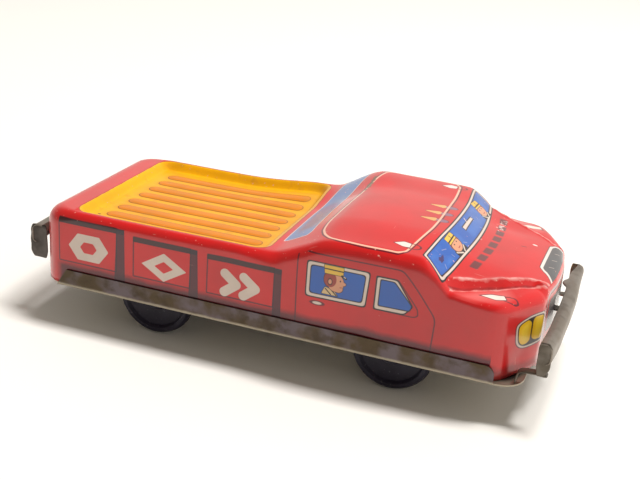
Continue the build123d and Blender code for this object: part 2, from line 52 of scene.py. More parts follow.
def make_camera():
    data = bpy.data.cameras.new("camera")
    data.lens = CAMERA_LENS
    data.sensor_width = 36
    data.clip_start = 0.01
    data.clip_end = 20
    camera = bpy.data.objects.new("camera", data)
    bpy.context.collection.objects.link(camera)
    back = Vector((
        sin(CAMERA_AZIMUTH) * cos(CAMERA_PITCH),
        -cos(CAMERA_AZIMUTH) * cos(CAMERA_PITCH),
        sin(CAMERA_PITCH),
    ))
    level = Vector((cos(CAMERA_AZIMUTH), sin(CAMERA_AZIMUTH), 0))
    upright = back.cross(level)
    right = level * cos(CAMERA_ROLL) + upright * sin(CAMERA_ROLL)
    up = upright * cos(CAMERA_ROLL) - level * sin(CAMERA_ROLL)
    turn = Matrix((right, up, back)).transposed().to_4x4()
    camera.matrix_world = Matrix.Translation(Vector(CAMERA_PLACE) * MM) @ turn
    bpy.context.scene.camera = camera


make_camera()


# ================================================================ body shape
BODY_HALF = 23.3
BODY_BOTTOM = 8.75
TAIL_X = -54.4
NOSE_X = 57.8
RIM_Z = 25.9
TRAY_REAR_X = -46.8
TRAY_FRONT_X = -1.2
TRAY_HALF = 21.2
TRAY_DEPTH = 1.85
TRAY_CORNER = 3.2
TRAY_WALL = 1.7                # how far the tray's wall slopes in
TRAY_MID_WALL = 0.8
RIB_PITCH = 4.9
RIB_HALF_WIDTH = 1.25
RIB_HEIGHT = 0.28
RIB_X = (-41.8, -4.7)
RIBS_EACH_SIDE = 3             # beside the middle one
SHEET = 0.35
EDGE_LEAN = 0.8
BED_END_X = 0.6
HOOD_START_X = 40.35
HOOD_START_BOW = 0.0045        # the hood's print starts further back at its sides
BED_SHOULDER = 1.85
SHOULDER_TURNS = np.radians([12, 26, 40, 54, 68, 80, 90])
TOP_LAYERS = 4                 # strips of the rolled edge that are printed with the top
WALL_LOOPS = 14
COLUMN_STEP = 0.55
ROW_STEP = 0.019               # rows are shares of the half width
ROW_GAP = 0.008                # close rows beside each bend of the tray's wall
TAIL_BLEND, NOSE_BLEND = 1.3, 12   # how far in the grid's ends follow the tail's and the nose's outlines
NOSE_HEADING, TAIL_HEADING, NOSE_SLOPE = 72, 135, 0.42   # which way a wall faces where its print changes
PRINTS = ("litho_rim", "litho_cab", "litho_side", "litho_nose", "litho_tail", "litho_tray", "litho_hood")
RIM, CAB, SIDE, NOSE, TAIL, TRAY, HOOD = range(len(PRINTS))

# Values along the body, as pairs of place and value.
SHOULDER_KNOTS = [
    (-54, 3.6), (-50, 3.2), (-45, BED_SHOULDER), (-6, BED_SHOULDER), (6, 3.0), (33, 2.8), (40, 1.3),
    (48, 1.6), (56, 3.0),
]
CROWN_KNOTS = [(0, 0), (12, 0.8), (34, 0.9), (38, 1.2), (43, 0.7), (58, 0.5)]
PANEL_KNOTS = [(36, 21.2), (37.8, 20.4), (40, 18.9), (43.6, 17.2), (46, 15.6), (50, 13.3), (57, 8.9)]
FOOT_KNOTS = [(36, 23.2), (37.8, 22.6), (40.6, 20.6), (44, 18.5), (48.8, 15.9), (53, 12.9), (58, 9.6)]
FENDER_DROP_KNOTS = [(35.5, 0), (38.5, 1.3), (44, 1.3), (50, 1.0), (55, 0.7), (58, 0.3)]

# Changes of the top's slope along the body: place, change and roundness.
CAB_SLOPES = [(0.9, 0.66, 1.4), (11.5, -0.57, 1.8), (19, -0.11, 5.0)]
WINDSCREEN_SLOPES = [(34.5, -0.70, 0.8), (39.6, 0.44, 0.8)]
HOOD_SLOPES = [(42.5, 0.20, 1.5), (51.5, -0.25, 2.0)]
WINDSCREEN_BOW = 1.5

# Dents in the sheet: centre, radius and depth.
DENTS = [
    ((54.5, -18.5, 12.6), 2.6, 0.55), ((56.8, -12.5, 11.6), 2.2, 0.4), ((-8, -23.3, 22), 6.0, 0.22),
    ((20, -23.3, 13.5), 7.0, 0.15), ((-36, -23.3, 24.5), 5.0, 0.12), ((2.5, -22.8, 24.8), 3.2, 0.3),
    ((30, -22.8, 30.0), 4.0, 0.18), ((-20, 23.3, 20), 8.0, 0.25), ((45, 12, 28), 5.0, 0.18),
    ((48, -19, 26), 3.0, 0.15), ((54, 18, 15), 3.5, 0.3),
]


def filleted(corners, step=0.08):
    """Points along a path whose corners are rounded: each corner is x, y, radius."""
    points = [corners[0][:2]]
    for before, here, after in zip(corners, corners[1:], corners[2:]):
        corner = np.array(here[:2])
        back = np.array(before[:2]) - corner
        ahead = np.array(after[:2]) - corner
        back /= np.linalg.norm(back)
        ahead /= np.linalg.norm(ahead)
        half = np.arccos(np.clip(back @ ahead, -1, 1)) / 2
        reach = here[2] / tan(half)
        middle = corner + (back + ahead) / np.linalg.norm(back + ahead) * here[2] / sin(half)
        start = corner + back * reach - middle
        finish = corner + ahead * reach - middle
        first = np.arctan2(start[1], start[0])
        sweep = np.arctan2(finish[1], finish[0]) - first
        sweep = (sweep + pi) % (2 * pi) - pi
        for turn in first + sweep * np.linspace(0, 1, 24):
            points.append((middle[0] + here[2] * cos(turn), middle[1] + here[2] * sin(turn)))
    points.append(corners[-1][:2])
    points = np.array(points)
    along = np.concatenate(([0], np.cumsum(np.linalg.norm(np.diff(points, axis=0), axis=1))))
    even = np.linspace(0, along[-1], int(along[-1] / step))
    return np.stack([np.interp(even, along, points[:, k]) for k in (0, 1)], axis=1)


# Plan of the body on one side, from the middle of the tail to the middle of the nose.
PLAN = filleted([
    (TAIL_X, 0, 0), (TAIL_X, BODY_HALF, 5.4), (49.8, BODY_HALF, 5.0), (56.6, 14.0, 5.0), (57.7, 5.0, 12.0),
    (NOSE_X, 0, 0),
])
PLAN_NORMAL = np.gradient(PLAN, axis=0)
PLAN_NORMAL = np.stack([-PLAN_NORMAL[:, 1], PLAN_NORMAL[:, 0]], axis=1)
PLAN_NORMAL /= np.linalg.norm(PLAN_NORMAL, axis=1)[:, None]


def knots(values, x):
    """Straight lines between (place, value) pairs."""
    return np.interp(x, [k[0] for k in values], [k[1] for k in values])


def ramp(t, width):
    """Nought before t = 0 and t after it, with a rounded knee."""
    return (t + np.sqrt(t * t + width * width)) / 2


def ease(t):
    t = np.clip(t, 0, 1)
    return t * t * (3 - 2 * t)


def rounded_box(x, y, centre, half, corner):
    """Signed distance to a rounded rectangle."""
    dx = np.abs(x - centre[0]) - half[0] + corner
    dy = np.abs(y - centre[1]) - half[1] + corner
    return np.hypot(np.maximum(dx, 0), np.maximum(dy, 0)) + np.minimum(np.maximum(dx, dy), 0) - corner


def crease_rows(x):
    """Half widths of the hood's two creases: the raised panel's edge, and the foot of its slope."""
    panel = knots(PANEL_KNOTS, x)
    return panel, np.maximum(knots(FOOT_KNOTS, x), panel + 0.5)


def cab_height(x, y):
    """Rim, slope up behind the cab, roof, bowed windscreen and hood, crowned across."""
    a = np.abs(y)
    across = (a / 20) ** 2
    z = RIM_Z + 0.1 + 0.1 * ease((x + 30) / 20)
    bowed = x + WINDSCREEN_BOW * across
    for along, slopes in ((x, CAB_SLOPES), (bowed, WINDSCREEN_SLOPES), (x, HOOD_SLOPES)):
        for place, change, roundness in slopes:
            z += change * ramp(along - place, roundness)
    z -= knots(CROWN_KNOTS, x) * across
    # It leans to the near side, mostly at its edges, and the far rim is bent up where it meets the cab.
    z += ease((x + 4) / 14) * (0.01 * y + EDGE_LEAN * np.sign(y) * ease((a - 10) / 11))
    z += 1.5 * np.exp(-((x + 2) / 11.4) ** 2) * ease((y - 6) / 14)
    z += 0.6 * np.exp(-((x - 9) / 6) ** 2) * ease((y - 6) / 12)
    return z


def fender_height(x, a):
    """How the hood falls from its raised panel to the fenders, with a ragged ridge along the crease."""
    panel, foot = crease_rows(x)
    fall = knots(FENDER_DROP_KNOTS, x) * np.clip((a - panel) / (foot - panel), 0, 1)
    fall += 0.03 * np.maximum(a - foot, 0) * ease((x - 36) / 5)
    ridge = 0.16 * np.exp(-((a - panel) / 0.45) ** 2) - 0.14 * np.exp(-((a - foot) / 0.4) ** 2)
    ragged = 1 + 0.8 * np.sin(1.7 * x) * np.sin(0.6 * x + 1)
    return ridge * ragged * ease((x - 37) / 2) - fall


def tray_height(x, y):
    """The cargo tray, with ribs raised in its floor."""
    centre = ((TRAY_FRONT_X + TRAY_REAR_X) / 2, 0)
    tray = rounded_box(x, y, centre, ((TRAY_FRONT_X - TRAY_REAR_X) / 2, TRAY_HALF), TRAY_CORNER)
    share = np.clip(-tray / TRAY_WALL, 0, 1)
    near = np.clip(np.round(y / RIB_PITCH), -RIBS_EACH_SIDE, RIBS_EACH_SIDE) * RIB_PITCH
    end = np.maximum(np.maximum(RIB_X[0] + RIB_HALF_WIDTH - x, x - RIB_X[1] + RIB_HALF_WIDTH), 0)
    rib = np.hypot(end, y - near) - RIB_HALF_WIDTH
    raised = RIB_HEIGHT * ease(0.5 - rib / 0.9) * (tray < -TRAY_WALL)
    return raised - TRAY_DEPTH * (0.45 * share + 0.55 * ease(share))


def height(x, y):
    """Height of the pressed top at a place in plan."""
    return cab_height(x, y) + fender_height(x, np.abs(y)) + tray_height(x, y)


def bottom_edge(x, y):
    """Height of the body's lower edge: it lifts and is ragged round the nose."""
    lift = ease((x - 49.5) / 7.5)
    ragged = 0.45 * np.sin(1.3 * y + 0.7 * x) * np.sin(0.83 * y - x) * lift
    return BODY_BOTTOM + 0.8 * lift + ragged


def plan_at(key, values):
    """Inner edge, normal and shoulder radius where one coordinate of the inner edge has these values."""
    radius = knots(SHOULDER_KNOTS, PLAN[:, 0])
    inner = PLAN - PLAN_NORMAL * radius[:, None]
    end = len(PLAN) - 1
    split_tail = int(np.argmax(PLAN_NORMAL[:, 1] > sqrt(0.5)))
    split_nose = end - int(np.argmax(PLAN_NORMAL[::-1, 1] > NOSE_SLOPE))
    spans = {"tail": (0, split_tail, 1), "side": (split_tail, split_nose, 0), "nose": (split_nose, end, 1)}
    start, finish, axis = spans[key]
    track = inner[start:finish + 1, axis]
    order = np.argsort(track)
    index = np.interp(values, track[order], np.arange(start, finish + 1)[order])

    def pick(column):
        return np.interp(index, np.arange(end + 1), column)

    place = np.stack([pick(inner[:, 0]), pick(inner[:, 1])], axis=1)
    normal = np.stack([pick(PLAN_NORMAL[:, 0]), pick(PLAN_NORMAL[:, 1])], axis=1)
    return place, normal, pick(radius), (track[0], track[-1])


def spread(marks, step):
    """Numbers that run through every mark with a step no longer than the one given."""
    out = [marks[0]]
    for a, b in zip(marks, marks[1:]):
        count = max(1, int(np.ceil((b - a) / step - 1e-6)))
        out += list(a + (b - a) * np.arange(1, count + 1) / count)
    return np.array(out)


def top_grid():
    """The top's grid in plan, and the loop round it: point number, outward normal and shoulder radius."""
    _, _, _, side_span = plan_at("side", [0])
    rear, front = TRAY_REAR_X, TRAY_FRONT_X
    columns = spread([
        side_span[0], -48.5, -47.3, rear, rear + TRAY_MID_WALL, rear + TRAY_WALL,
        front - TRAY_WALL, front - TRAY_MID_WALL, front, BED_END_X, HOOD_START_X, side_span[1],
    ], COLUMN_STEP)
    edge = BODY_HALF - BED_SHOULDER
    panel_row, foot_row, rim_row = [(TRAY_HALF - inset) / edge for inset in (TRAY_WALL, TRAY_MID_WALL, 0)]
    rows = spread([0, panel_row - ROW_GAP, panel_row, panel_row + ROW_GAP, foot_row - ROW_GAP, foot_row,
                   foot_row + ROW_GAP, rim_row, 1], ROW_STEP)
    rows = np.concatenate((-rows[:0:-1], rows))
    side, side_normal, side_radius, _ = plan_at("side", columns)
    tail, tail_normal, tail_radius, _ = plan_at("tail", np.abs(rows) * side[0, 1])
    nose, nose_normal, nose_radius, _ = plan_at("nose", np.abs(rows) * side[-1, 1])
    to_tail = np.clip(1 - (columns - columns[0]) / TAIL_BLEND, 0, 1) ** 1.5
    to_nose = np.clip(1 - (columns[-1] - columns) / NOSE_BLEND, 0, 1) ** 1.5
    gx = columns[:, None] + to_tail[:, None] * (tail[:, 0] - tail[-1, 0])
    gx += to_nose[:, None] * (nose[:, 0] - nose[-1, 0])
    # On the hood the rows follow its creases.
    to_hood = ease((columns - 30) / 8)[:, None]
    track = [
        np.interp(np.abs(rows), [0, panel_row, foot_row, 1], [0, min(p / s, 0.955), min(f / s, 0.98), 1])
        for p, f, s in zip(*crease_rows(columns), side[:, 1])
    ]
    share = (1 - to_hood) * np.abs(rows) + to_hood * np.array(track)
    sign = np.sign(rows)
    gy = side[:, 1][:, None] * share * sign
    count_x, count_y = gx.shape
    index = np.arange(gx.size).reshape(gx.shape)
    ring = [(index[0, j], tail_normal[j] * (1, sign[j]), tail_radius[j]) for j in range(count_y - 1, 0, -1)]
    ring += [(index[i, 0], side_normal[i] * (1, -1), side_radius[i]) for i in range(count_x - 1)]
    ring += [(index[-1, j], nose_normal[j] * (1, sign[j]), nose_radius[j]) for j in range(count_y - 1)]
    ring += [(index[i, -1], side_normal[i], side_radius[i]) for i in range(count_x - 1, 0, -1)]
    return gx, gy, index, ring


def wall_layers(start, normal, radius):
    """Loops of points from the top's edge: round the shoulder, then down to the ragged foot."""
    layers = []
    for turn in SHOULDER_TURNS:
        out = start[:, :2] + normal * (radius * sin(turn))[:, None]
        layers.append(np.column_stack([out, start[:, 2] - radius * (1 - cos(turn))]))
    knee = layers[-1]
    low = bottom_edge(knee[:, 0], knee[:, 1])
    for share in np.linspace(0, 1, WALL_LOOPS + 1)[1:]:
        layers.append(np.column_stack([knee[:, :2], knee[:, 2] + (low - knee[:, 2]) * share]))
    return layers


def top_print(x, y):
    """Which print lies at a place on the top."""
    return np.select([x < BED_END_X, x + HOOD_START_BOW * y * y < HOOD_START_X], [RIM, CAB], HOOD)


def wall_print(normal):
    """Which print lies on a wall that faces this way."""
    heading = np.abs(np.degrees(np.arctan2(normal[:, 1], normal[:, 0])))
    return np.select([heading > TAIL_HEADING, heading < NOSE_HEADING], [TAIL, NOSE], SIDE)


def dented(verts):
    for centre, reach, depth in DENTS:
        gap = np.linalg.norm(verts - np.array(centre), axis=1) / reach
        push = depth * np.exp(-2.5 * gap * gap)
        back = -0.5 if centre[0] > 50 else 0.0
        down = -1.0 if centre[2] > 24 else -0.1
        inward = np.array([back, -np.sign(centre[1]), down])
        verts += push[:, None] * inward / np.linalg.norm(inward)
    return verts


def body_mesh():
    """The stamped shell: a grid for its top, and loops that roll over its edge and go down the walls."""
    gx, gy, index, ring = top_grid()
    top = np.stack([gx, gy, height(gx, gy)], axis=2).reshape(-1, 3)
    corners = [index[:-1, :-1], index[1:, :-1], index[1:, 1:], index[:-1, 1:]]
    quads = [np.stack(corners, axis=2).reshape(-1, 4)]
    middle_x, middle_y = [(g[:-1, :-1] + g[1:, 1:]) / 2 for g in (gx, gy)]
    prints = top_print(middle_x, middle_y)
    prints[(middle_x > TRAY_REAR_X) & (middle_x < TRAY_FRONT_X) & (np.abs(middle_y) < TRAY_HALF)] = TRAY
    prints = [prints.reshape(-1)]
    before = np.array([r[0] for r in ring])
    normal = np.array([r[1] for r in ring], dtype=float)
    radius = np.array([r[2] for r in ring])
    start = top[before]
    verts = [top]
    for number, layer in enumerate(wall_layers(start, normal, radius)):
        here = len(top) + number * len(ring) + np.arange(len(ring))
        quads.append(np.stack([before, here, np.roll(here, -1), np.roll(before, -1)], axis=1))
        prints.append(top_print(start[:, 0], start[:, 1]) if number < TOP_LAYERS else wall_print(normal))
        verts.append(layer)
        before = here
    verts = dented(np.concatenate(verts))
    mesh = bpy.data.meshes.new("tin_body")
    mesh.from_pydata((verts * MM).tolist(), [], np.concatenate(quads).tolist())
    mesh.polygons.foreach_set("material_index", np.concatenate(prints).astype(np.int32))
    mesh.polygons.foreach_set("use_smooth", np.ones(len(mesh.polygons), dtype=bool))
    mesh.validate()
    mesh.update()
    return mesh


def add_object(name, mesh):
    made = bpy.data.objects.new(name, mesh)
    bpy.context.collection.objects.link(made)
    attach(made, "chassis")
    return made


def thicken(piece, thickness, offset):
    wall = piece.modifiers.new("sheet", "SOLIDIFY")
    wall.thickness = thickness * MM
    wall.offset = offset


body = add_object("tin_body", body_mesh())
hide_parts("body_shell")
thicken(body, SHEET, -1)


# ================================================================ bumpers
# Which way the bumper faces, how far out its front is, its half length, and the height of its top.
Bumper = namedtuple("Bumper", "ways reach half top")
FRONT_BUMPER = Bumper(1, 61.1, 22.7, 19.4)
REAR_BUMPER = Bumper(-1, 59.3, 20.4, 20.3)
# Section of a bumper, from the rear edge of its rolled top to its foot: back from the front, down from the
# top, and the radius of the bend.
BUMPER_SECTION = filleted([
    (2.5, 0.15, 0), (0.9, 0, 1.0), (0, 1.0, 1.0), (0.05, 3.9, 0.5), (0.9, 4.3, 0),
], 0.25)
BUMPER_COLUMNS = 56
BUMPER_SHEET, FOLD_SHEET = 0.4, 0.45
TONGUE_Z = 17.15


def wavy(*places):
    """A smooth bent-sheet wobble at a place, between -1 and 1."""
    return noise.noise(Vector(places))


def sheet_from_rows(name, rows, thickness):
    """A thin sheet through rows of points, eased by subdivision."""
    count = len(rows[0])
    quads = []
    for i in range(len(rows) - 1):
        for j in range(count - 1):
            a = i * count + j
            quads.append((a, a + 1, a + count + 1, a + count))
    mesh = bpy.data.meshes.new(name)
    mesh.from_pydata([[c * MM for c in point] for row in rows for point in row], [], quads)
    mesh.polygons.foreach_set("use_smooth", np.ones(len(mesh.polygons), dtype=bool))
    made = add_object(name, mesh)
    thicken(made, thickness, 0)
    ease_over = made.modifiers.new("ease", "SUBSURF")
    ease_over.levels = ease_over.render_levels = 1
    return made


def bumper_strip(name, bumper, ear=None):
    """The rolled strip: bowed, bent by knocks, narrower and cut back at its far end, with an ear behind."""
    ways, reach, half, top = bumper
    rows = []
    for y in np.arange(-half, half + 0.01, 2 * half / BUMPER_COLUMNS):
        lean = 0.35 * ease((y - half + 9) / 9)
        narrow = 0.35 * ease((y - half + 7) / 7)
        cut = 0.9 * ease((y - half + 2) / 2)
        bow = 0.8 * (y / half) ** 2 + 0.35 * wavy(y / 12, 3.1, reach)
        drop = 0.3 * wavy(y / 11, 7.7, reach) + 0.3
        row = []
        for back, down in BUMPER_SECTION:
            if ear is not None and back > 1.6:
                back += 1.1 * np.exp(-((y - ear) / 1.9) ** 4) * (back - 1.6) / 0.9
            back *= 1 - narrow
            back += lean * (2.15 - down) * -0.6
            x = ways * min(reach - bow - back, reach)
            row.append((x, y - cut * (1 - back / 2.5), top - drop - down))
        rows.append(row)
    return sheet_from_rows(name, rows, BUMPER_SHEET)


def end_plate(name, bumper, side, drop, backs):
    """The strip's end, folded down, dented, and rounded at its corners."""
    ways, reach, half, top = bumper
    rows = []
    for down in np.linspace(0.1, drop, 12):
        inset = 0.9 * ease((down - drop + 1.8) / 1.8) + 0.7 * ease(1 - down / 1.4)
        inset += 0.15 * wavy(down / 2, side, reach)
        row = []
        for back in np.linspace(backs[0] + inset, backs[1] - 0.4 * inset, 7):
            y = side * (half - 0.4 + 0.35 * wavy(down / 1.6, back / 1.6, side))
            row.append((ways * (reach - back), y, top - down))
        rows.append(row)
    return sheet_from_rows(name, rows, FOLD_SHEET)


def ribbon(name, path, across, half_width):
    """A narrow strip of tin along a path."""
    rows = []
    for place in path:
        middle = Vector(place)
        rows.append([tuple(middle + Vector(across) * half_width * k) for k in (-1, -0.4, 0.4, 1)])
    return sheet_from_rows(name, rows, FOLD_SHEET)


def make_bumpers():
    front = [bumper_strip("front_bumper_strip", FRONT_BUMPER, ear=10.4)]
    rear = [bumper_strip("rear_bumper_strip", REAR_BUMPER)]
    for side, word in ((-1, "right"), (1, "left")):
        front.append(end_plate(f"front_bumper_end_{word}", FRONT_BUMPER, side, 7.4, (0.7, 3.5)))
        rear.append(end_plate(f"rear_bumper_end_{word}", REAR_BUMPER, side, 8.2, (0.2, 4.7)))
        # The front arm runs back under the nose and down to the pan, and a fold joins it to the strip's end.
        y = side * (FRONT_BUMPER.half - 1.9)
        arm = [(59.9, 12.2), (59.0, 11.9), (57.0, 11.8), (54.7, 11.7), (54.1, 11.0), (53.9, 8.7)]
        front.append(ribbon(f"front_bumper_arm_{word}", [(x, y, z) for x, z in arm], (0, 1, 0), 1.1))
        fold = [(22.5, 12.3), (22.2, 11.95), (21.4, 11.9), (20, 11.9)]
        fold = [(59.0, side * out, z) for out, z in fold]
        front.append(ribbon(f"front_bumper_fold_{word}", fold, (1, 0, 0), 1.15))
    for bumper, pieces, word in ((FRONT_BUMPER, front, "front"), (REAR_BUMPER, rear, "rear")):
        tongue = [(bumper.ways * (bumper.reach - back), 0, TONGUE_Z) for back in (0.4, 2, 4, 6.4)]
        pieces.append(ribbon(f"{word}_bumper_tongue", tongue, (0, 1, 0), 1.3))
    for piece in front:
        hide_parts("front_bumper")
    for piece in rear:
        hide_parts("rear_bumper")
    return front + rear


bumper_pieces = make_bumpers()


# ================================================================ layered surfaces
class Field:
    """A number that varies over a surface: arithmetic on it adds nodes to the surface's material."""

    def __init__(self, surface, socket):
        self.surface = surface
        self.socket = socket

    def __add__(self, other):
        return self.surface.math("ADD", self, other)

    def __sub__(self, other):
        return self.surface.math("SUBTRACT", self, other)

    def __rsub__(self, other):
        return self.surface.math("SUBTRACT", other, self)

    def __mul__(self, other):
        return self.surface.math("MULTIPLY", self, other)

    def __abs__(self):
        return self.surface.math("ABSOLUTE", self)


class Surface:
    """A procedural material, painted in layers one over another. Its lengths are in millimetres."""

    def __init__(self, name, colour, finish):
        self.material = bpy.data.materials.new(name)
        self.material.use_nodes = True
        self.tree = self.material.node_tree
        self.shader = self.tree.nodes["Principled BSDF"]
        for key, value in finish.items():
            self.shader.inputs[key].default_value = value
        place = self.tree.nodes.new("ShaderNodeTexCoord").outputs["Object"]
        self.point = self.node("VectorMath", {0: place, "Scale": 1 / MM}, operation="SCALE")
        self.x, self.y, self.z = self.parts(self.point)
        normal = self.tree.nodes.new("ShaderNodeNewGeometry").outputs["Normal"]
        self.facing_up = self.parts(normal)[2]
        self.colour = colour
        self.relief = None

    def node(self, kind, inputs, output=0, **settings):
        """Adds a node and gives one of its outputs. Each input is a number, a colour or an output."""
        made = self.tree.nodes.new("ShaderNode" + kind)
        for key, value in settings.items():
            setattr(made, key, value)
        for key, value in inputs.items():
            value = value.socket if isinstance(value, Field) else value
            if isinstance(value, bpy.types.NodeSocket):
                self.tree.links.new(value, made.inputs[key])
            else:
                made.inputs[key].default_value = value
        return made.outputs[output]

    def parts(self, vector):
        split = self.tree.nodes.new("ShaderNodeSeparateXYZ")
        self.tree.links.new(vector, split.inputs[0])
        return [Field(self, socket) for socket in split.outputs]

    def math(self, operation, *values, clamp=False):
        return Field(self, self.node("Math", dict(enumerate(values)), operation=operation, use_clamp=clamp))

    def vector(self, operation, *values):
        return self.node("VectorMath", dict(enumerate(values)), operation=operation)

    def measure(self, operation, *values):
        """A number worked out from vectors."""
        return Field(self, self.node("VectorMath", dict(enumerate(values)), output=1, operation=operation))

    def flat(self, u, v):
        """The plane that a print lies in, for the shapes below."""
        return self.node("CombineXYZ", {0: u, 1: v})

    def noise(self, size, detail=2.0, seed=0.0, stretch=(1, 1, 1)):
        """Cloudy values about a half, with features of this size."""
        point = self.vector("MULTIPLY", self.point, [1 / (size * k) for k in stretch])
        values = {"Vector": point, "W": seed, "Scale": 1.0, "Detail": detail}
        return Field(self, self.node("TexNoise", values, noise_dimensions="4D"))

    # Shapes: each gives the distance to its edge, negative inside.
    def box(self, flat, low, high, corner=0.2):
        centre = [(a + b) / 2 for a, b in zip(low, high)]
        half = [(b - a) / 2 - corner for a, b in zip(low, high)]
        off_centre = self.vector("ABSOLUTE", self.vector("SUBTRACT", flat, (*centre, 0)))
        gap = self.vector("SUBTRACT", off_centre, (*half, 0))
        across, along, _ = self.parts(gap)
        within = self.math("MINIMUM", self.math("MAXIMUM", across, along), 0.0)
        return self.measure("LENGTH", self.vector("MAXIMUM", gap, (0, 0, 0))) + within - corner

    def oval(self, flat, centre, radii):
        low = min(radii)
        gap = self.vector("SUBTRACT", flat, (*centre, 0))
        gap = self.vector("MULTIPLY", gap, (low / radii[0], low / radii[1], 0))
        return self.measure("LENGTH", gap) - low

    def shape(self, flat, corners, rounding=0.2):
        """A convex outline with eased corners."""
        area = sum(a[0] * b[1] - a[1] * b[0] for a, b in zip(corners, corners[1:] + corners[:1]))
        far = None
        for a, b in zip(corners, corners[1:] + corners[:1]):
            outward = Vector((b[1] - a[1], a[0] - b[0], 0)).normalized() * (1 if area > 0 else -1)
            edge = self.measure("DOT_PRODUCT", flat, outward) - outward.dot(Vector((*a, 0)))
            far = edge if far is None else self.math("SMOOTH_MAX", far, edge, rounding)
        return far

    def stroke(self, flat, points, half_width):
        """A line through some points."""
        near = None
        for a, b in zip(points, points[1:]):
            run = Vector((b[0] - a[0], b[1] - a[1], 0))
            start = self.vector("SUBTRACT", flat, (*a, 0))
            share = self.measure("DOT_PRODUCT", start, run)
            share = self.math("MULTIPLY", share, 1 / run.length_squared, clamp=True)
            foot = self.node("VectorMath", {0: run, "Scale": share}, operation="SCALE")
            gap = self.measure("DISTANCE", start, foot)
            near = gap if near is None else self.math("MINIMUM", near, gap)
        return near - half_width

    def inside(self, distance, soft=0.1):
        return self.math("MULTIPLY_ADD", distance, -1 / soft, 0.5, clamp=True)

    def above(self, value, level, soft):
        """One where a value passes a level."""
        return self.math("MULTIPLY_ADD", value, 1 / soft, 0.5 - level / soft, clamp=True)

    def tint(self, mask, colour):
        """Lays a colour on by a mask."""
        under = {6: (*self.colour, 1)} if isinstance(self.colour, tuple) else {6: self.colour}
        over = {7: (*colour, 1)} if isinstance(colour, tuple) else {7: colour}
        self.colour = self.node("Mix", {0: mask, **under, **over}, output=2, data_type="RGBA")

    def cover(self, distance, colour, strength=1.0, soft=0.1):
        mask = self.inside(distance, soft)
        self.tint(mask if strength == 1.0 else mask * strength, colour)

    def keyline(self, distance, colour, half_width=0.13):
        """A thin line along the edge of a shape."""
        self.cover(abs(distance) - half_width, colour)

    def finished(self):
        if isinstance(self.colour, tuple):
            self.shader.inputs["Base Color"].default_value = (*self.colour, 1)
        else:
            self.tree.links.new(self.colour, self.shader.inputs["Base Color"])
        if self.relief is not None:
            values = {"Strength": 1.0, "Distance": MM, "Height": self.relief}
            self.tree.links.new(self.node("Bump", values), self.shader.inputs["Normal"])
        return self.material

    def set(self, key, value):
        """Lets one of the shader's numbers vary over the surface."""
        self.tree.links.new(value.socket, self.shader.inputs[key])


# ================================================================ lithographed body
RED = (0.68, 0.012, 0.014)
RED_DEEP = (0.61, 0.009, 0.011)
CREAM = (0.72, 0.60, 0.52)
PEACH = (0.92, 0.52, 0.38)
INK = (0.014, 0.008, 0.012)
WINE = (0.13, 0.008, 0.018)
BAR = (0.030, 0.011, 0.024)
GLASS = (0.018, 0.115, 0.47)
REAR_GLASS = (0.15, 0.26, 0.56)
YELLOW = (0.88, 0.43, 0.004)
ORANGE = (0.72, 0.23, 0.012)
CAP = (0.80, 0.50, 0.06)
SKIN = (0.72, 0.33, 0.19)
HAIR = (0.34, 0.05, 0.035)
FRINGE = (0.25, 0.05, 0.02)
LIPS = (0.35, 0.03, 0.02)
TUNIC = (0.70, 0.50, 0.25)
ROOF_LAMP_LEAF = (0.92, 0.72, 0.66)
HOOD_LAMP_LEAF = (0.95, 0.75, 0.66)
CHIP = (0.85, 0.42, 0.34)
SPECK = (0.80, 0.50, 0.42)
SCRATCH = (0.85, 0.45, 0.38)
WEAR_AND_HIGHLIGHT_PINK = (0.95, 0.55, 0.50)
GRIME = (0.10, 0.03, 0.02)
LAMP = (0.88, 0.52, 0.008)
GRILLE = (0.09, 0.09, 0.095)
RUST = (0.16, 0.09, 0.04)
STEEL_GREY = (0.16, 0.13, 0.15)
VARNISH = {
    "Roughness": 0.42, "Specular IOR Level": 0.25, "Coat Weight": 1.0, "Coat Roughness": 0.17,
}


def enamel(name, finish=VARNISH):
    """Red printed tinplate under varnish, before its pictures."""
    paint = Surface(name, RED, finish)
    paint.tint(paint.above(paint.noise(16, 2), 0.5, 0.5), RED_DEEP)
    return paint


def aged(paint):
    """Chips along the shoulders, specks, hair scratches, grime, and the varnish's faint waves."""
    shoulder = paint.above(paint.facing_up, 0.2, 0.2) * (1 - paint.above(paint.facing_up, 0.93, 0.1))
    chips = paint.above(paint.noise(0.75, 4, 3), 0.685, 0.04) * shoulder
    paint.tint(chips * 0.75, CHIP)
    specks = paint.above(paint.noise(0.6, 2, 7), 0.79, 0.03)
    paint.tint(specks * 0.6, SPECK)
    dots = paint.above(paint.noise(0.9, 1, 11), 0.815, 0.02)
    paint.tint(dots * 0.8, (0.06, 0.02, 0.02))
    for seed, stretch in ((21, (0.25, 5, 5)), (22, (4, 0.22, 4)), (23, (3, 3, 0.25))):
        hair = paint.above(paint.noise(1.6, 1, seed, stretch), 0.79, 0.02)
        paint.tint(hair * 0.35, SCRATCH)
    paint.tint(paint.above(paint.noise(7, 4, 31), 0.52, 0.35) * 0.16, GRIME)
    paint.set("Roughness", paint.noise(9, 3, 41) * 0.16 + 0.34)
    paint.relief = paint.noise(13, 1, 51) * 0.30 + paint.noise(0.5, 2, 53) * 0.0035
    return paint.finished()


def moved(corners, centre, scale=1.0):
    return [(centre[0] + u * scale, centre[1] + v * scale) for u, v in corners]


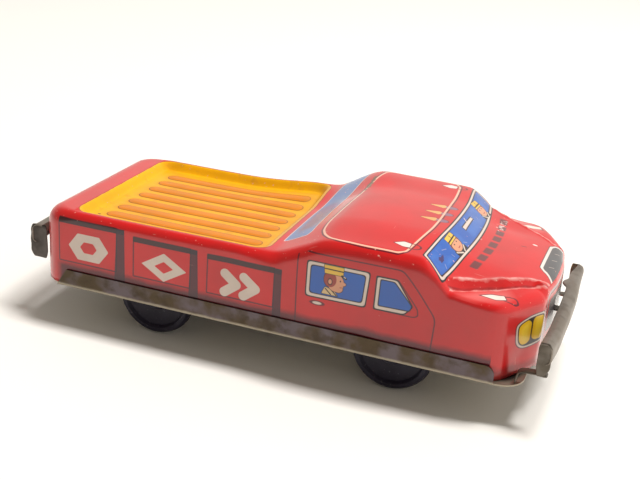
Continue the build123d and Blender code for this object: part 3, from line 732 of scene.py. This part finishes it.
# Dark bars on the sides: left end, top, then the upright's inner and outer x, each at its top and its foot.
PANELS = [
    (-49.4, 24.5, (-35.0, -35.55), (-33.1, -32.8)),
    (-30.8, 23.5, (-17.1, -17.4), (-15.5, -15.0)),
    (-13.1, 23.2, (2.2, 2.1), (3.8, 4.1)),
]
PANEL_FOOT, UPRIGHT_FOOT, BAR_DEPTH = 14.35, 11.0, 1.15
BADGES = [(-42.0, 18.4), (-23.4, 17.8), (-5.0, 17.5)]
HEXAGON = [(-5.0, 0), (-2.7, -3.1), (2.7, -3.1), (5.0, 0), (2.7, 3.1), (-2.7, 3.1)]
DIAMOND = [(-5.4, 0), (0, -3.3), (5.4, 0), (0, 3.3)]
CHEVRON = [(-3.6, 2.1), (-0.9, 0), (-3.6, -2.1)]
DOOR = [(7.5, 9), (7.0, 20), (7.1, 28.4), (29.4, 28.5), (31.6, 26.5), (36.9, 19.6), (36.4, 9)]
SIDE_WINDOW = [(9.4, 18.9), (22.1, 19.0), (22.6, 26.5), (9.4, 26.5)]
VENT_LINE = [(24.0, 19.0), (32.6, 19.0), (33.3, 19.5), (33.1, 20.9), (28.6, 26.3), (24.1, 26.3)]
VENT_FRAME = [(24.2, 19.2), (30.4, 19.3), (31.9, 21.2), (28.4, 26.1), (24.3, 26.1)]
VENT_GLASS = [(25.0, 20.05), (31.4, 20.2), (31.8, 21.2), (27.9, 25.6), (25.1, 25.6)]


def side_panels(paint, side):
    """Three panels with a plain shape in each: a nut, a diamond and a pair of chevrons."""
    for left, top, inner, outer in PANELS:
        paint.keyline(paint.box(side, (left, PANEL_FOOT), (inner[0], top), 0.1), WINE, 0.16)
        paint.cover(paint.box(side, (left - 0.1, top - BAR_DEPTH), (outer[0], top), 0.25), INK, 0.95)
        upright = [(inner[0], top), (inner[1], UPRIGHT_FOOT), (outer[1], UPRIGHT_FOOT), (outer[0], top)]
        paint.cover(paint.shape(side, upright), BAR, 0.9)
    for badge, centre in zip((HEXAGON, DIAMOND), BADGES):
        for scale, colour in ((1.0, CREAM), (0.42, RED)):
            paint.cover(paint.shape(side, moved(badge, centre, scale), 0.3), colour)
    for forward in (-0.4, 4.0):
        chevron = moved(CHEVRON, (BADGES[2][0] + forward, BADGES[2][1]))
        paint.cover(paint.stroke(side, chevron, 1.05), CREAM)


def side_driver(paint, side):
    """A plain cartoon driver who looks ahead, in a peaked cap."""
    tunic = paint.shape(side, [(12.7, 20.0), (16.2, 20.0), (15.4, 21.0), (13.4, 21.6)], 0.4)
    paint.cover(tunic - 0.12, INK)
    paint.cover(tunic, TUNIC)
    for x in (13.5, 14.7):
        paint.cover(paint.stroke(side, [(x, 21.2), (x + 1.2, 20.1)], 0.12), INK)
    hair = paint.oval(side, (14.4, 23.4), (1.35, 1.7))
    head = paint.oval(side, (15.6, 22.9), (1.75, 2.0))
    chin = paint.oval(side, (16.2, 21.7), (1.0, 0.85))
    nose = paint.oval(side, (17.4, 22.9), (0.4, 0.35))
    for part in (hair, head, chin, nose):
        paint.cover(part - 0.12, INK)
    for part in (head, chin, nose):
        paint.cover(part, SKIN)
    paint.cover(hair, HAIR)
    ear = paint.oval(side, (14.4, 22.9), (0.45, 0.65))
    paint.cover(ear, SKIN)
    paint.keyline(ear, INK, 0.08)
    paint.cover(paint.oval(side, (16.6, 23.4), (0.15, 0.2)), INK)
    paint.cover(paint.stroke(side, [(16.6, 22.0), (17.0, 22.05)], 0.08), LIPS)
    cap = paint.shape(side, [(13.15, 24.6), (17.1, 24.6), (17.15, 26.4), (12.95, 26.4)], 0.2)
    paint.cover(cap - 0.1, INK)
    paint.cover(cap, CAP)
    paint.cover(paint.stroke(side, [(13.1, 25.6), (17.1, 25.55)], 0.13), INK)
    paint.cover(paint.stroke(side, [(16.9, 24.6), (17.7, 24.2)], 0.25), INK)
    paint.cover(paint.stroke(side, [(17.3, 24.5), (17.6, 24.35)], 0.1), CREAM)


def window(paint, outer, inset):
    """A cream frame between thin dark lines, and the pane inside it."""
    paint.cover(outer - 0.28, INK)
    paint.cover(outer, CREAM)
    paint.cover(inset - 0.22, INK)
    paint.cover(inset, GLASS)


def side_material(name):
    """Door, windows, driver and panels, over a red with painted shade along the cab's side, and dark along
    the foot.
    """
    paint = enamel(name)
    side = paint.flat(paint.x, paint.z)
    # Painted shade: the red is darkened along the cab's side, fading out before the nose.
    painted_side_shade = paint.above(paint.x, 12, 20) * (1 - paint.above(paint.x, 46, 10))
    paint.tint(painted_side_shade * 0.28, (0.36, 0.010, 0.014))
    side_panels(paint, side)
    paint.keyline(paint.shape(side, DOOR, 1.2), WINE, 0.15)
    outer = paint.shape(side, SIDE_WINDOW, 1.2)
    window(paint, outer, outer + 0.8)
    side_driver(paint, side)
    paint.keyline(paint.shape(side, VENT_LINE, 0.6), WINE, 0.13)
    window(paint, paint.shape(side, VENT_FRAME, 0.7), paint.shape(side, VENT_GLASS, 0.6))
    handle = paint.oval(side, (11.95, 17.55), (1.0, 0.32))
    paint.cover(handle - 0.22, WINE)
    paint.cover(handle, CREAM)
    band = paint.z + paint.noise(6, 3, 33) * 1.6
    along = paint.above(paint.x, -49.5, 1.5) * (1 - paint.above(paint.x, 52.0, 2.0))
    paint.tint((1 - paint.above(band, 14.6, 1.3)) * along * 0.85, (0.045, 0.006, 0.016))
    return aged(paint)


ROOF = [
    (9.7, -15.7), (10.9, -18.3), (12.5, -20.0), (14.5, -20.8), (20.0, -21.5), (27.5, -21.4), (28.9, -20.3),
    (29.6, -17.2), (31.0, -10.8), (31.4, -5.4), (31.3, 5.3), (31.0, 13.4), (30.4, 19.0), (29.2, 20.8),
    (14.0, 21.1), (12.4, 20.0), (11.4, 16.2), (10.5, 8.7), (10.0, 0), (9.4, -13),
]
REAR_WINDOW = [(1.0, -15.3), (5.9, -15.3), (6.5, -14.0), (6.5, 21.5), (1.1, 21.5)]
# Leaf-shaped highlights on the corner lamps, each with the middle of the lamp's outline.
ROOF_LAMPS = [
    ([(25.6, -17.95), (27.4, -16.95), (29.0, -17.25), (29.0, -18.7), (27.6, -18.75)], (29.5, -18.1)),
    ([(26.4, 18.0), (28.2, 19.3), (29.8, 19.0), (29.8, 17.6), (28.4, 17.2)], (30.4, 18.5)),
]
HOOD_LAMPS = [
    ([(44.7, -20.1), (46.6, -18.9), (49.0, -18.4), (49.7, -19.5), (47.7, -20.3)], (50.4, -19.2)),
    ([(45.2, 18.3), (47.0, 19.7), (49.6, 20.1), (50.2, 18.9), (48.2, 18.0)], (50.9, 19.3)),
]


def corner_lamps(paint, plan, lamps, radii, outline, colour):
    for leaf, middle in lamps:
        paint.keyline(paint.oval(plan, middle, radii), WINE, 0.12)
        leaf = paint.shape(plan, leaf, 0.25)
        paint.cover(leaf - outline, WINE)
        paint.cover(leaf, colour)


def roof_art(paint, plan):
    """The panel line round the roof, three tear-drop marker lamps, rust and the corner lamps."""
    roof = paint.shape(plan, ROOF, 0.5)
    paint.keyline(roof - 0.42, WINE, 0.16)
    for y in (-4.2, -0.1, 4.3):
        tear = [(27.3, y - 0.1), (30.3, y - 0.9), (31.2, y), (30.3, y + 0.9), (27.3, y + 0.1)]
        tear = paint.shape(plan, tear, 0.2)
        end = paint.oval(plan, (31.9, y), (1.35, 0.8))
        paint.cover(tear - 0.16, (0.32, 0.06, 0.02))
        paint.cover(end - 0.1, WINE)
        paint.cover(tear, (0.93, 0.44, 0.13))
        paint.cover(end, (0.32, 0.17, 0.26), 0.8)
    paint.keyline(roof, PEACH, 0.22)
    brown_patch = paint.oval(plan, (10.75, 12.6), (0.5, 4.0)) + (paint.noise(1.2, 3, 61) - 0.5) * 1.4
    paint.cover(brown_patch, RUST, 0.85)
    corner_lamps(paint, plan, ROOF_LAMPS, (1.7, 0.95), 0.16, ROOF_LAMP_LEAF)


def rear_window(paint, plan):
    """A cloudy pane behind the cab, bowed at its far end, with a scratch."""
    far = paint.math("MAXIMUM", paint.y, 0.0)
    bowed = paint.flat(paint.x - far * far * 0.0045, paint.y)
    pane = paint.shape(bowed, REAR_WINDOW, 0.4)
    paint.cover(pane - 0.2, (0.80, 0.66, 0.60))
    clouds = paint.noise(4.5, 3, 63)
    tones = {0: clouds, 6: (0.12, 0.20, 0.45, 1), 7: (*REAR_GLASS, 1)}
    paint.tint(paint.inside(pane), paint.node("Mix", tones, 2, data_type="RGBA"))
    scratch = paint.stroke(plan, [(4.9, 4.3), (5.3, 1.6), (5.9, 0.6)], 0.1)
    paint.cover(scratch + (paint.noise(0.7, 2, 64) - 0.5) * 0.2, (0.05, 0.08, 0.2), 0.7)


def passenger(paint, plan, x, y, cap_width):
    """A plain cartoon figure in a cap, who looks out through the windscreen."""
    collar = [(x + 1.9, y - 2.6), (x + 3.2, y - 2.6), (x + 3.5, y + 2.2), (x + 2.6, y + 2.2)]
    paint.cover(paint.shape(plan, collar), INK)
    for lapel in ([(x + 2.3, y - 2.2), (x + 3.3, y - 0.6)], [(x + 2.6, y + 1.7), (x + 3.4, y + 0.4)]):
        paint.cover(paint.stroke(plan, lapel, 0.16), CREAM)
    paint.cover(paint.oval(plan, (x + 1.2, y - 0.1), (1.35, 2.3)), FRINGE)
    face = paint.oval(plan, (x + 1.6, y - 0.1), (1.25, 2.0))
    paint.cover(face - 0.12, INK)
    paint.cover(face, SKIN)
    for across in (-0.75, 0.75):
        paint.cover(paint.oval(plan, (x + 1.25, y + across), (0.14, 0.22)), INK)
    paint.cover(paint.stroke(plan, [(x + 2.2, y - 0.5), (x + 2.2, y + 0.5)], 0.08), LIPS)
    cap = [(x - 0.8, y - cap_width), (x - 0.6, y + cap_width), (x + 0.8, y + 1.9), (x + 0.7, y - 1.9)]
    cap = paint.shape(plan, cap, 0.2)
    paint.cover(cap - 0.12, INK)
    paint.cover(cap, CAP)
    paint.cover(paint.stroke(plan, [(x + 0.25, y - 1.9), (x + 0.35, y + 1.9)], 0.14), INK)
    paint.cover(paint.stroke(plan, [(x - 0.45, y + 0.2), (x + 0.2, y + 0.3)], 0.1), INK)


# Scratches on the windscreen: where each starts, and how far it slants.
GLASS_SCRATCHES = [
    (37.6, -7.5, 0.9), (36.9, 7.2, -0.3), (38.6, 4.0, 0.5), (34.9, -15.5, 1.3), (36.4, -18.0, -0.6),
    (36.8, -14.2, 0.2),
]


def windscreen(paint, plan):
    """A bowed pane with a mirror and two plain cartoon figures."""
    rear = 34.4 - (paint.y - 3) * (paint.y - 3) * 0.0040 - paint.x
    fore = paint.x - (39.75 - (paint.y - 1) * (paint.y - 1) * 0.0049)
    ends = [(32.2, -20.1), (37.5, -22.6), (45, -24), (45, 21.2), (37.9, 21.2), (33.1, 21.6)]
    pane = paint.math("SMOOTH_MAX", rear, fore, 0.4)
    pane = paint.math("SMOOTH_MAX", pane, paint.shape(plan, ends, 0.3), 1.0)
    window(paint, pane, pane + 0.62)
    glare = paint.above(paint.noise(5, 2, 71), 0.55, 0.3) * paint.inside(pane + 1.0, 0.5)
    paint.tint(glare * 0.45, (0.10, 0.28, 0.72))
    for x, y, cap_width in ((35.2, -10.2, 1.8), (35.4, 13.2, 1.6)):
        passenger(paint, plan, x, y, cap_width)
    paint.cover(paint.shape(plan, [(36.0, -2.75), (36.1, 4.6), (36.8, 4.9), (36.9, -2.7)], 0.1) - 0.1, INK)
    paint.cover(paint.shape(plan, [(36.1, -2.6), (36.2, 4.5), (36.7, 4.8), (36.8, -2.5)], 0.1), CREAM)
    paint.cover(paint.stroke(plan, [(35.4, 1.5), (36.3, 0.8)], 0.12), CREAM)
    for x, y, slant in GLASS_SCRATCHES:
        paint.cover(paint.stroke(plan, [(x, y), (x + 0.6, y + slant)], 0.06), CREAM, 0.4)
    blot = paint.oval(plan, (35.4, -17.6), (0.45, 1.2)) + (paint.noise(0.8, 3, 73) - 0.5) * 1.6
    paint.cover(blot, (0.05, 0.02, 0.10), 0.9)


# The hood's two creases, rubbed and with a painted highlight: the raised panel's edge, and the foot of its
# slope.
UPPER_CREASE = [(37.2, 20.9), (40, 18.9), (43.6, 17.2), (46, 15.6), (50, 13.3), (56.5, 9.3)]
LOWER_CREASE = [(36.6, 22.9), (40.6, 20.9), (44, 18.8), (48.8, 16.2), (53, 13.2), (57, 10.3)]
GRILLE_TOP = [
    (53.5, -4.6), (55.0, -6.3), (57.2, -9.0), (60, -9.5),
    (60, 10.4), (57.2, 10.3), (54.6, 9.9), (53.6, 8.6),
]
LOUVRE_PITCH = 3.83
LOUVRE_HALF = LOUVRE_PITCH / 2 - 0.5
LOUVRE_MIDDLE = 0.63


def louvres(paint, plan):
    """Eight dark marks in a bowed row, scuffed at the far end."""
    bowed = paint.x + (paint.y - 2) * (paint.y - 2) * 0.0055
    across = paint.y - LOUVRE_MIDDLE
    row = paint.math("WRAP", across, 0.0, LOUVRE_PITCH) - LOUVRE_PITCH / 2
    mark = paint.box(paint.flat(bowed, row), (42.0, -LOUVRE_HALF), (43.75, LOUVRE_HALF), 0.3)
    mark = paint.math("MAXIMUM", mark, abs(across) - 4 * LOUVRE_PITCH)
    paint.cover(mark, (0.11, 0.03, 0.035), 0.9, 0.3)
    scuff = paint.oval(plan, (42.0, 10.8), (0.8, 3.4)) + (paint.noise(0.8, 3, 75) - 0.5) * 5.0 + 0.35
    paint.cover(scuff, (0.85, 0.62, 0.56), 0.7, 0.3)


def hood_art(paint, plan):
    """Louvres, a painted reflection on the fenders, creases that are rubbed and carry a painted highlight,
    painted shade below the lower crease, a chip, a scratch, corner lamps and the grille's top.
    """
    louvres(paint, plan)
    folded = paint.flat(paint.x, abs(paint.y))
    # A painted reflection: the fenders are lightened beside the lower crease.
    painted_fender_reflection = paint.stroke(folded, [(u, v + 2.0) for u, v in LOWER_CREASE[:4]], 1.1)
    paint.tint(paint.inside(painted_fender_reflection, 3.0) * paint.above(paint.x, 42, 6) * 0.55, (0.88, 0.26, 0.24))
    # Light lines along both creases: rubbed wear, and a painted highlight.
    for line, amount in ((UPPER_CREASE, 0.75), (LOWER_CREASE, 0.6)):
        rubbed = paint.stroke(folded, line, 0.12) + (paint.noise(1.8, 3, 77) - 0.5) * 1.2
        paint.cover(rubbed, WEAR_AND_HIGHLIGHT_PINK, amount, 0.5)
    shade = paint.stroke(folded, [(u, v - 0.45) for u, v in LOWER_CREASE], 0.12)
    paint.cover(shade + (paint.noise(2.5, 2, 78) - 0.5) * 0.4, (0.22, 0.01, 0.015), 0.7, 0.3)
    paint.cover(paint.oval(plan, (50.7, 5.7), (0.55, 0.32)), (0.90, 0.72, 0.66))
    paint.cover(paint.stroke(plan, [(48.3, 2.8), (49.2, 3.0)], 0.12), (0.12, 0.01, 0.015))
    corner_lamps(paint, plan, HOOD_LAMPS, (1.6, 0.85), 0.18, HOOD_LAMP_LEAF)
    grille = paint.shape(plan, GRILLE_TOP, 0.5)
    paint.cover(grille - 0.15, INK)
    paint.cover(grille, (0.80, 0.72, 0.66))
    paint.cover(grille + 0.6, GRILLE)
    for y in (-2.0, 2.0, 6.0):
        paint.cover(paint.stroke(plan, [(55.2, y - 0.6), (56.1, y)], 0.1), CREAM, 0.5)


def top_material(name, *pictures):
    paint = enamel(name)
    plan = paint.flat(paint.x, paint.y)
    for picture in pictures:
        picture(paint, plan)
    return aged(paint)


def bed_material(name, finish):
    """Red rim, yellow tray and orange ribs."""
    paint = enamel(name, finish)
    plan = paint.flat(paint.x, paint.y)
    tray = paint.box(plan, (TRAY_REAR_X, -TRAY_HALF), (TRAY_FRONT_X + 0.5, TRAY_HALF), TRAY_CORNER)
    tray = tray + (paint.noise(2.0, 2, 81) - 0.5) * 0.3
    paint.cover(tray - 0.25, (0.30, 0.06, 0.01), 0.8, 0.2)
    paint.cover(tray, YELLOW)
    middle = paint.math("PINGPONG", paint.y + RIB_PITCH * 10, RIB_PITCH / 2)
    start, finish = RIB_X[0] + RIB_HALF_WIDTH, RIB_X[1] - RIB_HALF_WIDTH
    ends = abs(paint.x - (start + finish) / 2) - (finish - start) / 2
    rib = paint.measure("LENGTH", paint.flat(paint.math("MAXIMUM", ends, 0.0), middle)) - RIB_HALF_WIDTH
    rib = paint.math("MAXIMUM", rib, abs(paint.y) - (RIBS_EACH_SIDE + 0.5) * RIB_PITCH)
    paint.cover(rib - 1.3, ORANGE, 0.3, 1.0)
    paint.cover(rib - 0.42, (0.26, 0.07, 0.010), 0.85, 0.15)
    paint.cover(rib - 0.15, ORANGE, 0.95, 0.15)
    # Random wear in the tray, and painted shade towards its front end beside the cab.
    brown_patch = paint.above(paint.noise(3.5, 4, 83), 0.62, 0.1) * 0.35 + paint.above(paint.x, -5.0, 5.0) * 0.35
    paint.tint(brown_patch * paint.inside(tray), (0.50, 0.22, 0.03))
    paint.cover(paint.oval(plan, (-43.4, -16.3), (0.45, 0.25)), INK, 0.8)
    return aged(paint)


LAMP_FRAME = [
    (12.2, 15.8), (12.9, 21.6), (14.4, 21.9), (17.4, 21.4), (19.4, 20.2), (19.0, 16.0), (17.6, 14.9),
]


def nose_material(name):
    """Twin headlights in a frame on each chamfer, and a barred grille across the front."""
    paint = enamel(name)
    front = paint.flat(abs(paint.y), paint.z)
    outer = paint.shape(front, LAMP_FRAME, 1.4)
    paint.cover(outer - 0.45, WINE)
    paint.cover(outer - 0.25, CREAM)
    paint.cover(outer + 0.1, INK)
    for low, high in (((16.25, 15.6), (19.1, 20.9)), ((12.9, 16.1), (15.95, 21.5))):
        glass = paint.math("MAXIMUM", paint.box(front, low, high, 1.2), outer + 0.35)
        paint.cover(glass, LAMP)
        paint.cover(glass + 0.6, (0.95, 0.66, 0.04), 0.8, 0.6)
    panel = paint.box(front, (-11.0, 13.6), (11.0, 24.6), 1.6)
    paint.keyline(panel, (0.42, 0.30, 0.30), 0.22)
    paint.keyline(panel + 0.45, INK, 0.16)
    inner = paint.box(front, (-9.4, 15.6), (9.4, 22.6), 1.0)
    bars = paint.math("PINGPONG", paint.z, 0.85) - 0.3
    paint.cover(inner - 0.2, INK)
    paint.cover(inner, GRILLE)
    paint.cover(paint.math("MAXIMUM", bars, inner + 0.4), STEEL_GREY, 0.6)
    dirt = paint.z + paint.noise(4, 3, 33) * 2.2
    paint.tint((1 - paint.above(dirt, 12.6, 1.5)) * 0.55, (0.12, 0.010, 0.012))
    return aged(paint)


def tail_material(name):
    """A plain tailgate: outline, two round lamps and a blank plate."""
    paint = enamel(name)
    back = paint.flat(abs(paint.y), paint.z)
    paint.keyline(paint.box(back, (-20, 12.8), (13.2, 22.2), 1.4), WINE, 0.2)
    lamp = paint.oval(back, (16.4, 17.6), (1.9, 1.9))
    paint.cover(lamp - 0.25, INK)
    paint.cover(lamp, CREAM)
    paint.cover(lamp + 0.5, (0.75, 0.20, 0.02))
    plate = paint.box(back, (-6.0, 12.0), (6.0, 15.4), 0.5)
    paint.cover(plate - 0.25, INK)
    paint.cover(plate, CREAM)
    dirt = paint.z + paint.noise(4, 3, 33) * 2.0
    paint.tint((1 - paint.above(dirt, 11.6, 1.5)) * 0.6, (0.08, 0.008, 0.012))
    return aged(paint)


WORN_VARNISH = {"Roughness": 0.45, "Specular IOR Level": 0.15, "Coat Weight": 0.3, "Coat Roughness": 0.2}
for material in (
    bed_material(PRINTS[RIM], VARNISH), top_material(PRINTS[CAB], rear_window, roof_art, windscreen),
    side_material(PRINTS[SIDE]), nose_material(PRINTS[NOSE]), tail_material(PRINTS[TAIL]),
    bed_material(PRINTS[TRAY], WORN_VARNISH), top_material(PRINTS[HOOD], hood_art),
):
    body.data.materials.append(material)


# ================================================================ bare metal and lacquer
def metal(name, colour, shade, roughness, blotch, stain=None):
    """Worn metal: two tones in clouds, stains, fine grain, and roughness that follows them."""
    paint = Surface(name, colour, {"Metallic": 1.0, "Roughness": roughness})
    paint.tint(paint.above(paint.noise(blotch, 3, 1), 0.5, 0.25), shade)
    if stain is not None:
        paint.tint(paint.above(paint.noise(blotch * 0.8, 4, 5), 0.55, 0.08) * 0.8, stain)
    paint.tint(paint.above(paint.noise(0.35, 2, 9), 0.6, 0.2) * 0.25, tuple(0.5 * c for c in shade))
    paint.set("Roughness", paint.noise(blotch * 0.7, 3, 15) * 0.3 + (roughness - 0.15))
    paint.relief = paint.noise(0.5, 3, 17) * 0.012 + paint.noise(9, 1, 19) * 0.1
    return paint.finished()


PAN_BEND_Z = 9.05


def tarnished_tin(name, clean, brown, bend_top=0.0, waves=0.08):
    """Plain tin: grey lilac, with rust-brown and olive patches, and lighter below the height of its bend."""
    paint = Surface(name, clean, {"Metallic": 0.7, "Roughness": 0.45})
    paint.tint(paint.above(paint.noise(5.5, 3, 1), 0.49, 0.18), brown)
    paint.tint(paint.above(paint.noise(3.0, 4, 5), 0.58, 0.14) * 0.7, tuple(0.7 * c for c in brown))
    paint.tint(paint.above(paint.noise(0.7, 3, 7), 0.75, 0.05) * 0.5, (0.32, 0.28, 0.22))
    bend = 1 - paint.above(paint.z + paint.noise(2, 2, 8) * 0.3, bend_top, 0.5)
    paint.tint(bend * 0.9, (0.42, 0.37, 0.28))
    paint.set("Roughness", paint.noise(4, 3, 15) * 0.3 + 0.3)
    paint.relief = paint.noise(0.6, 3, 17) * 0.02 + paint.noise(7, 1, 19) * waves
    return paint


def pan_tin():
    """The pan's tin, with painted shade inside its pale front lip."""
    paint = tarnished_tin("pan_tin", (0.14, 0.112, 0.12), (0.088, 0.062, 0.036), PAN_BEND_Z, 0.25)
    plan = paint.box(paint.flat(paint.x, paint.y), (-60, -21.9), (54.2, 21.9), 4.5)
    # Painted shade on the pan's upward faces inside its lip, under the body's edge.
    painted_shade_in_pan = paint.inside(plan, 1.2) * paint.above(paint.facing_up, 0.7, 0.3)
    paint.tint(painted_shade_in_pan * 0.9, (0.018, 0.010, 0.012))
    return paint.finished()


def wheel_lacquer():
    """The wheels' dark lacquer, dusty and rubbed."""
    paint = Surface("wheel_lacquer", (0.010, 0.008, 0.018), {"Roughness": 0.45, "Specular IOR Level": 0.3})
    paint.tint(paint.above(paint.noise(4, 3, 1), 0.5, 0.3) * 0.7, (0.022, 0.018, 0.034))
    paint.tint(paint.above(paint.noise(0.6, 3, 4), 0.66, 0.06) * 0.6, (0.10, 0.09, 0.10))
    paint.set("Roughness", paint.noise(3, 3, 6) * 0.3 + 0.25)
    paint.relief = paint.noise(0.7, 3, 8) * 0.02
    return paint.finished()


def dress(material, *nodes):
    for node in nodes:
        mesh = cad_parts[node].data
        mesh.materials.clear()
        mesh.materials.append(material)


dress(pan_tin(), "base_plate")
# One bumper tin in three tones: the strips in their own tone, painted shade on the front ends, arms, folds
# and tongues, and deeper painted shade on the rear ends.
bumper_tin = tarnished_tin("bumper_tin", (0.32, 0.285, 0.25), (0.27, 0.23, 0.19)).finished()
painted_half_shade_tin = tarnished_tin("painted_half_shade_tin", (0.20, 0.175, 0.15), (0.13, 0.11, 0.085)).finished()
shaded_tin = tarnished_tin("shaded_tin", (0.11, 0.095, 0.085), (0.05, 0.042, 0.035)).finished()
for piece in bumper_pieces:
    tin = shaded_tin if "rear_bumper_end" in piece.name else painted_half_shade_tin
    piece.data.materials.append(bumper_tin if "strip" in piece.name else tin)
dress(wheel_lacquer(), "front_wheel_left", "front_wheel_right", "rear_wheel_left", "rear_wheel_right")
dress(metal("drawn_steel", (0.50, 0.48, 0.46), (0.36, 0.34, 0.32), 0.35, 3.0, (0.17, 0.08, 0.04)),
      "front_axle", "rear_axle", "second_shaft", "winding_arbor", "click_rivet",
      "motor_pillar_front", "motor_pillar_rear", "spring_pillar")
dress(metal("pressed_steel", (0.46, 0.44, 0.41), (0.34, 0.32, 0.30), 0.42, 6.0, (0.20, 0.11, 0.06)),
      "chassis_rivets", "front_axle_bracket", "motor_plate_left", "motor_plate_right", "ratchet_wheel")
dress(metal("cut_brass", (0.70, 0.47, 0.17), (0.52, 0.33, 0.12), 0.33, 3.0, (0.22, 0.14, 0.06)),
      "axle_pinion", "second_gear", "second_pinion", "drive_gear")
dress(metal("blued_spring", (0.10, 0.12, 0.19), (0.16, 0.13, 0.14), 0.28, 5.0), "mainspring", "click_spring")
dress(metal("nickelled_key", (0.55, 0.52, 0.46), (0.42, 0.39, 0.34), 0.30, 4.0, (0.22, 0.15, 0.09)),
      "winding_key")


# ================================================================ floor and light
SWEEP = (0.46, 0.88)           # where the pale sweep ends and the dim room begins
SWEEP_LEAN = (-0.45, -0.55, 1.0)   # higher behind the toy and before its nose
SWEEP_COLOUR = (0.72, 0.69, 0.64)
ROOM_COLOUR = (0.17, 0.145, 0.115)
KEY_PLACE = (0.30, 0.22, 1.17)
KEY_SIZE = (0.55, 0.20)
KEY_POWER = 17.5
KEY_COLOUR = (1.0, 0.985, 0.97)
FLOOR_HALF = 3.0
FLOOR_COLOUR = (0.86, 0.84, 0.80)


def make_floor():
    mesh = bpy.data.meshes.new("floor")
    corners = [(x * FLOOR_HALF, y * FLOOR_HALF, 0) for x, y in ((-1, -1), (1, -1), (1, 1), (-1, 1))]
    mesh.from_pydata(corners, [], [(0, 1, 2, 3)])
    floor = bpy.data.objects.new("floor", mesh)
    bpy.context.collection.objects.link(floor)
    paper = bpy.data.materials.new("paper")
    paper.use_nodes = True
    shader = paper.node_tree.nodes["Principled BSDF"]
    shader.inputs["Base Color"].default_value = (*FLOOR_COLOUR, 1)
    shader.inputs["Roughness"].default_value = 0.6
    mesh.materials.append(paper)


def make_room():
    """A pale sweep stands behind the toy, and the room above and in front of it is dimmer."""
    world = bpy.data.worlds.new("studio")
    bpy.context.scene.world = world
    world.use_nodes = True
    tree = world.node_tree
    sky = tree.nodes["Background"]
    sky.inputs["Strength"].default_value = 1.0
    place = tree.nodes.new("ShaderNodeTexCoord").outputs["Generated"]
    tone = tree.nodes.new("ShaderNodeValToRGB")
    lean = tree.nodes.new("ShaderNodeVectorMath")
    lean.operation = "DOT_PRODUCT"
    lean.inputs[1].default_value = SWEEP_LEAN
    tree.links.new(place, lean.inputs[0])
    tree.links.new(lean.outputs["Value"], tone.inputs[0])
    tree.links.new(tone.outputs[0], sky.inputs["Color"])
    for element, position, colour in zip(tone.color_ramp.elements, SWEEP, (SWEEP_COLOUR, ROOM_COLOUR)):
        element.position = position
        element.color = (*colour, 1)


def key_light():
    """A long lamp overhead, along the toy: soft shadows at its tail, crisp ones beside it."""
    data = bpy.data.lights.new("key", "AREA")
    data.shape = "RECTANGLE"
    data.size, data.size_y = KEY_SIZE
    data.energy = KEY_POWER
    data.color = KEY_COLOUR
    lamp = bpy.data.objects.new("key", data)
    bpy.context.collection.objects.link(lamp)
    back = Vector(KEY_PLACE).normalized()
    along = (Vector((1, 0, 0)) - back * back.x).normalized()
    turn = Matrix((along, back.cross(along), back)).transposed().to_4x4()
    lamp.matrix_world = Matrix.Translation(Vector(KEY_PLACE)) @ turn
    lamp.visible_glossy = False


make_floor()
make_room()
key_light()
bpy.context.scene.view_settings.view_transform = "Standard"
